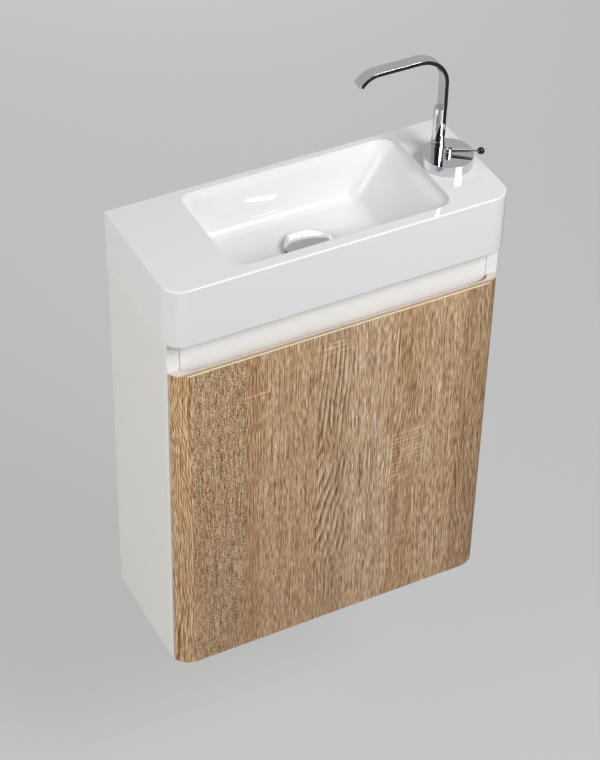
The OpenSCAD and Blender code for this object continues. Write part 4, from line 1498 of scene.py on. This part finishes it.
@dataclass
class SideTap(SubAssembly):
    """Basin tap with a round base, a strap spout on a round column and a short lever."""

    column: Pair = (185.2, -65.9)
    column_r: float = 7.75
    column_top: float = 206
    sink: float = 30
    slip: float = 0.02
    face: float = 190
    strap_t: float = 5.2
    strap_w: float = 15.5
    straight_middle: float = 225
    bend: float = 41
    top: float = 282.5
    droop: float = 31.4
    droop_angle: float = 56
    level_end: float = 95.53
    edge: float = 0.35
    base_edge: float = 0.45
    turned_edge: float = 0.25
    small_edge: float = 0.12
    bend_steps: int = 48
    droop_steps: int = 24
    edge_steps: int = 4

    def strap_path(self) -> list[tuple[Vector, Vector]]:
        """Course of the strap from the foot to the tip.

        Returns:
            Points in mm along the strap's middle, with its outward normals.
        """
        mid = self.strap_t / 2
        levels = (self.column_top, self.straight_middle)
        out = [(Vector((self.face - mid, 0, z)), Vector((1, 0, 0))) for z in levels]
        for x, radius, start, sweep, steps in (
            (self.face - self.bend, self.bend, 0, 90, self.bend_steps),
            (self.level_end, self.droop, 90, self.droop_angle, self.droop_steps),
        ):
            centre = Vector((x, 0, self.top - radius))
            for angle in angles(start, sweep, steps):
                normal = Vector((math.cos(angle), 0, math.sin(angle)))
                out.append((centre + normal * (radius - mid), normal))
        return out

    def section(self, inside_column: bool) -> list[Pair]:
        """Outline of the strap's section: distance across and along its normal.

        Args:
            inside_column: True for the foot, which is trimmed to the column's round.

        Returns:
            Points in mm, counter-clockwise.
        """
        half_t = self.strap_t / 2
        outer = self.face - self.column[0]
        out = []
        for side, way, turn in ((1, 1, 0), (-1, 1, 90), (-1, -1, 180), (1, -1, 270)):
            for angle in angles(turn, 90, self.edge_steps):
                across = side * (self.strap_w / 2 - self.edge) + self.edge * math.cos(angle)
                along = way * (half_t - self.edge) + self.edge * math.sin(angle)
                if inside_column:
                    room = math.sqrt(self.column_r ** 2 - (outer - half_t + along) ** 2) - self.slip
                    across = max(-room, min(room, across))
                out.append((across, along))
        return out

    def spout(self) -> None:
        """Build the bent strap."""
        foot, normal = self.strap_path()[0]
        stations = [(foot - Vector((0, 0, self.sink)), normal, True), (foot, normal, True)]
        stations += [(centre, normal, False) for centre, normal in self.strap_path()]
        rings = []
        for centre, normal, inside in stations:
            ring = []
            for across, out in self.section(inside):
                point = centre + normal * out
                ring.append(Vector((point.x, self.column[1] + across, point.z)) * MM)
            rings.append(ring)
        piece = add_piece("strap_spout", loft("strap_spout", rings), material_of(Coat.CHROME.value))
        piece.modifiers.new("normals", "WEIGHTED_NORMAL").keep_sharp = True
        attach(piece, "spout")
        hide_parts("spout_arm")
        LOG.info("strap_spout: bent strap")

    def build(self) -> None:
        """Build the strap and dress the turned parts and what clamps them to the deck."""
        self.spout()
        self.dress(Coat.CHROME, self.base_edge, "tap_body")
        self.dress(Coat.CHROME, self.turned_edge, "spout_column", "column_collar", "lever_turret")
        self.dress(Coat.CHROME, self.small_edge, "lever_rod")
        self.dress(Coat.ZINC, self.small_edge, "lever_pin")
        self.dress(Coat.BLACK, self.small_edge, "spout_set_screw", "lever_knob", "spout_outlet")
        self.dress(Coat.NYLON, self.turned_edge, "control_cartridge")
        self.dress(Coat.BRASS, self.turned_edge, "tap_fixing_nut")
        self.dress(Coat.ZINC, self.turned_edge, "tap_clamp_washer")
        self.dress(Coat.RUBBER, self.small_edge, "tap_gasket", "tap_rubber_washer")


@dataclass
class PressWaste(SubAssembly):
    """Press-to-close waste with its cap, a shallow dome inside a sloping rim, and its seals and nut."""

    cap_foot: Pair = (0.4, 0.3)
    cap_side: float = 0.6
    cap_arris: float = 0.3
    cap_middle: float = 0.05
    rim_width: float = 6.3
    rim_slopes: Pair = (25, 15)
    turned_edge: float = 0.3
    seal_edge: float = 0.2
    arris_steps: int = 6
    rim_steps: int = 12

    def cap_profile(self, radius: float, low: float, high: float) -> list[Pair]:
        """Section of the cap: a short side, a rounded arris, a rim that flattens inwards and a dome.

        Args:
            radius: the cap's radius in mm.
            low: level of its underside.
            high: level of its crown.

        Returns:
            Radius and level of each point from the underside to the crown.
        """
        side = low + self.cap_side
        out = [(radius - self.cap_foot[0], low), (radius, low + self.cap_foot[1])]
        for angle in angles(0, 90 - self.rim_slopes[0], self.arris_steps):
            inset = self.cap_arris * (1 - math.cos(angle))
            out.append((radius - inset, side + self.cap_arris * math.sin(angle)))
        run = self.rim_width / self.rim_steps
        for step in range(1, self.rim_steps + 1):
            share = (step - 0.5) / self.rim_steps
            slope = self.rim_slopes[0] * (1 - share) + self.rim_slopes[1] * share
            out.append((out[-1][0] - run, out[-1][1] + run * math.tan(math.radians(slope))))
        inner, level = out[-1]
        for step in range(1, self.rim_steps + 1):
            share = 1 - step / self.rim_steps
            out.append((max(inner * share, self.cap_middle), level + (1 - share * share) * (high - level)))
        return out

    def cap(self) -> None:
        """Build the cap that is pressed, turned about the middle of its node."""
        low, high = ([value / MM for value in corner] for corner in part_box("waste_cap"))
        x, y = ((low[axis] + high[axis]) / 2 for axis in (0, 1))
        rings = [
            [Vector((x + radius * cos, y + radius * sin, level)) * MM for cos, sin in circle(TURNED_STEPS)]
            for radius, level in self.cap_profile((high[0] - low[0]) / 2, low[2], high[2])
        ]
        piece = add_piece("pressed_cap", loft("pressed_cap", rings), material_of(Coat.CHROME.value))
        piece.modifiers.new("smooth", "NODES").node_group = smooth_group()
        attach(piece, "waste_plug")
        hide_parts("waste_cap")
        LOG.info("pressed_cap: turned cap")

    def build(self) -> None:
        """Build the cap and dress the waste below it."""
        self.cap()
        self.dress(Coat.CHROME, self.turned_edge, "waste_flange")
        self.dress(Coat.BRASS, self.turned_edge, "waste_back_nut", "cap_stem", "click_cartridge")
        self.dress(Coat.RUBBER, self.seal_edge, "cap_seal", "waste_flange_gasket", "waste_cone_washer")


@dataclass
class BottleTrap(SubAssembly):
    """Chromed bottle trap with its nuts, pipes and wall rose."""

    cast_edge: float = 0.6
    tube_edge: float = 0.25

    def build(self) -> None:
        """Dress the trap."""
        self.dress(Coat.CHROME, self.cast_edge, "trap_head", "trap_cup", "trap_inlet_nut", "trap_gland_nut",
                   "trap_outlet_nut")
        self.dress(Coat.CHROME, self.tube_edge, "trap_inlet_tube", "trap_outlet_pipe", "wall_rose")
        self.dress(Coat.RUBBER, self.tube_edge, "trap_nut_gasket")


# Studio


@dataclass(frozen=True)
class Lamp:
    """One soft square lamp: its place, what it points at, its side in metres, its watts and its tint."""

    name: str
    spot: Triple
    aim: Triple
    size: float
    power: float
    tint: Triple = (1.0, 1.0, 1.0)
    mirrored: bool = True

    def hang(self) -> None:
        """Put the lamp into the scene."""
        data = bpy.data.lights.new(self.name, "AREA")
        data.size = self.size
        data.energy = self.power
        data.color = self.tint
        lamp = bpy.data.objects.new(self.name, data)
        lamp.location = self.spot
        lamp.rotation_euler = (Vector(self.aim) - Vector(self.spot)).to_track_quat("-Z", "Y").to_euler()
        lamp.visible_glossy = self.mirrored
        bpy.context.collection.objects.link(lamp)


@dataclass
class Studio:
    """Camera at the photograph's angle, a plain pale floor and soft lamps."""

    place: Triple = (-1.0404, -2.0135, 1.7322)
    turn: float = 28.22
    down: float = 40.48
    roll: float = 1.46
    lens: float = 108.93
    sensor: float = 36
    sight: float = 50
    floor_z: float = -0.77
    floor_half: float = 14
    backdrop: str = "BDBDBD"
    floor_shade: str = "808080"
    floor_glow: float = 0.69
    floor_bounce: str = "B6B6B6"
    floor_roughness: float = 0.8
    card_z: float = -0.6
    card_plan: tuple[Pair, ...] = (
        (-1.6, -3.6), (2.6, -3.6), (2.6, 1.2), (0.34, 1.2), (0.34, -0.5), (-1.6, -0.5),
    )
    card_colour: str = "1C1C1D"
    card_roughness: float = 0.9
    sky: float = 0.33
    mirrored_sky: float = 0.5
    mirrored_room: float = 0.02
    mirrored_ceiling: float = 0.85
    room_edge: Pair = (-0.25, 0.15)
    ceiling_edge: Pair = (0.80, 0.90)
    lamps: tuple[Lamp, ...] = (
        Lamp("key", (0.79, -1.56, 1.48), (0, -0.1, 0), 1.0, 41.5),
        Lamp("fill", (-2.2, -0.6, 0.7), (0, -0.1, -0.05), 1.8, 32.5, (1.0, 0.985, 0.925)),
        Lamp("rear", (0.9, 2.3, -0.05), (0, 0, -0.15), 1.3, 12, mirrored=False),
    )

    def camera(self) -> None:
        """Make the camera and set it as the scene's own."""
        yaw, pitch, tilt = (math.radians(angle) for angle in (self.turn, self.down, self.roll))
        ahead = Vector((math.sin(yaw) * math.cos(pitch), math.cos(yaw) * math.cos(pitch), -math.sin(pitch)))
        right = Vector((math.cos(yaw), -math.sin(yaw), 0))
        up = right.cross(ahead)
        side = right * math.cos(tilt) + up * math.sin(tilt)
        top = up * math.cos(tilt) - right * math.sin(tilt)
        data = bpy.data.cameras.new("photo_camera")
        data.lens = self.lens
        data.sensor_width = self.sensor
        data.clip_end = self.sight
        view = bpy.data.objects.new("photo_camera", data)
        frame = Matrix((side, top, -ahead)).transposed().to_4x4()
        frame.translation = Vector(self.place)
        view.matrix_world = frame
        bpy.context.collection.objects.link(view)
        bpy.context.scene.camera = view

    def seen_by(self, tree: NodeTree, *rays: str) -> Feed:
        """Tell kinds of light ray apart.

        Args:
            tree: the node tree of a material or of the world.
            rays: names of the Light Path outputs.

        Returns:
            Mask that is 1 for the named kinds.
        """
        path = add_node(tree, "ShaderNodeLightPath").outputs
        seen = path[rays[0]]
        for ray in rays[1:]:
            seen = add_node(tree, "ShaderNodeMath", {0: seen, 1: path[ray]}, operation="MAXIMUM")
        return seen

    def sheet(self, name: str, plan: list[Pair], z: float, material: Material) -> Object:
        """Flat piece of the stage.

        Args:
            name: its name.
            plan: its outline in metres.
            z: its level in metres.
            material: its material.

        Returns:
            The piece.
        """
        corners = [Vector((x, y, z)) for x, y in plan]
        piece = add_piece(name, mesh_from(name, corners, [tuple(range(len(plan)))], False), material)
        return piece

    def floor(self) -> None:
        """Make the floor that shows an even pale grey to the camera and in the chrome."""
        material, tree = new_material("floor_paint")
        seen = self.seen_by(tree, "Is Camera Ray", "Is Glossy Ray", "Is Transmission Ray")
        bounce = {"Base Color": self.floor_bounce, "Roughness": self.floor_roughness}
        paint = add_node(tree, "ShaderNodeBsdfPrincipled", bounce)
        glow = add_node(tree, "ShaderNodeEmission", {"Color": self.backdrop, "Strength": self.floor_glow})
        matt = add_node(tree, "ShaderNodeBsdfDiffuse", {"Color": self.floor_shade})
        both = add_node(tree, "ShaderNodeAddShader", {0: glow, 1: matt})
        mix = add_node(tree, "ShaderNodeMixShader", {0: seen, 1: paint, 2: both})
        add_node(tree, "ShaderNodeOutputMaterial", {"Surface": mix})
        half = self.floor_half
        plan = [(-half, -half), (half, -half), (half, half), (-half, half)]
        self.sheet("studio_floor", plan, self.floor_z, material)

    def card(self) -> None:
        """Dark card low in front that only reflections see, as the dim room round a product shot."""
        material, tree = new_material("dark_card")
        matt = {"Base Color": self.card_colour, "Roughness": self.card_roughness}
        paint = add_node(tree, "ShaderNodeBsdfPrincipled", matt)
        add_node(tree, "ShaderNodeOutputMaterial", {"Surface": paint})
        piece = self.sheet("dark_card", list(self.card_plan), self.card_z, material)
        piece.visible_camera = False
        piece.visible_diffuse = False
        piece.visible_shadow = False

    def world(self) -> None:
        """Light the room, with a pale side behind the object and a dim side before it in its mirrors."""
        world = bpy.data.worlds.new("studio")
        world.use_nodes = True
        tree = world.node_tree
        where = add_node(tree, "ShaderNodeTexCoord").outputs["Generated"]
        axes = add_node(tree, "ShaderNodeSeparateXYZ", {"Vector": where}).outputs
        room, ceiling = (
            add_node(
                tree, "ShaderNodeMapRange",
                {"Value": axes[axis], "From Min": edge[0], "From Max": edge[1], "To Min": low,
                 "To Max": high},
                interpolation_type="SMOOTHSTEP",
            )
            for axis, edge, low, high in (
                ("Y", self.room_edge, self.mirrored_room, self.mirrored_sky),
                ("Z", self.ceiling_edge, 0.0, self.mirrored_ceiling),
            )
        )
        mirrored = add_node(tree, "ShaderNodeMath", {0: room, 1: ceiling}, operation="MAXIMUM")
        seen = self.seen_by(tree, "Is Glossy Ray", "Is Transmission Ray")
        strength = add_node(tree, "ShaderNodeMix", {0: seen, 2: self.sky, 3: mirrored})
        back = tree.nodes["Background"]
        back.inputs["Color"].default_value = linear("FFFFFF")
        tree.links.new(strength.outputs[0], back.inputs["Strength"])
        bpy.context.scene.world = world

    def build(self) -> None:
        """Build the whole studio."""
        bpy.context.scene.view_settings.view_transform = "Standard"
        self.camera()
        self.floor()
        self.card()
        for lamp in self.lamps:
            lamp.hang()
        self.world()


def main() -> None:
    """Build the scene piece by piece."""
    logging.basicConfig(level=logging.INFO, format="%(message)s")
    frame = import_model()
    Studio().build()
    for part in (GlazedBasin, Carcass, OakDoor, DoorFittings, SideTap, PressWaste, BottleTrap):
        part(frame).build()


if __name__ == "__main__":
    main()
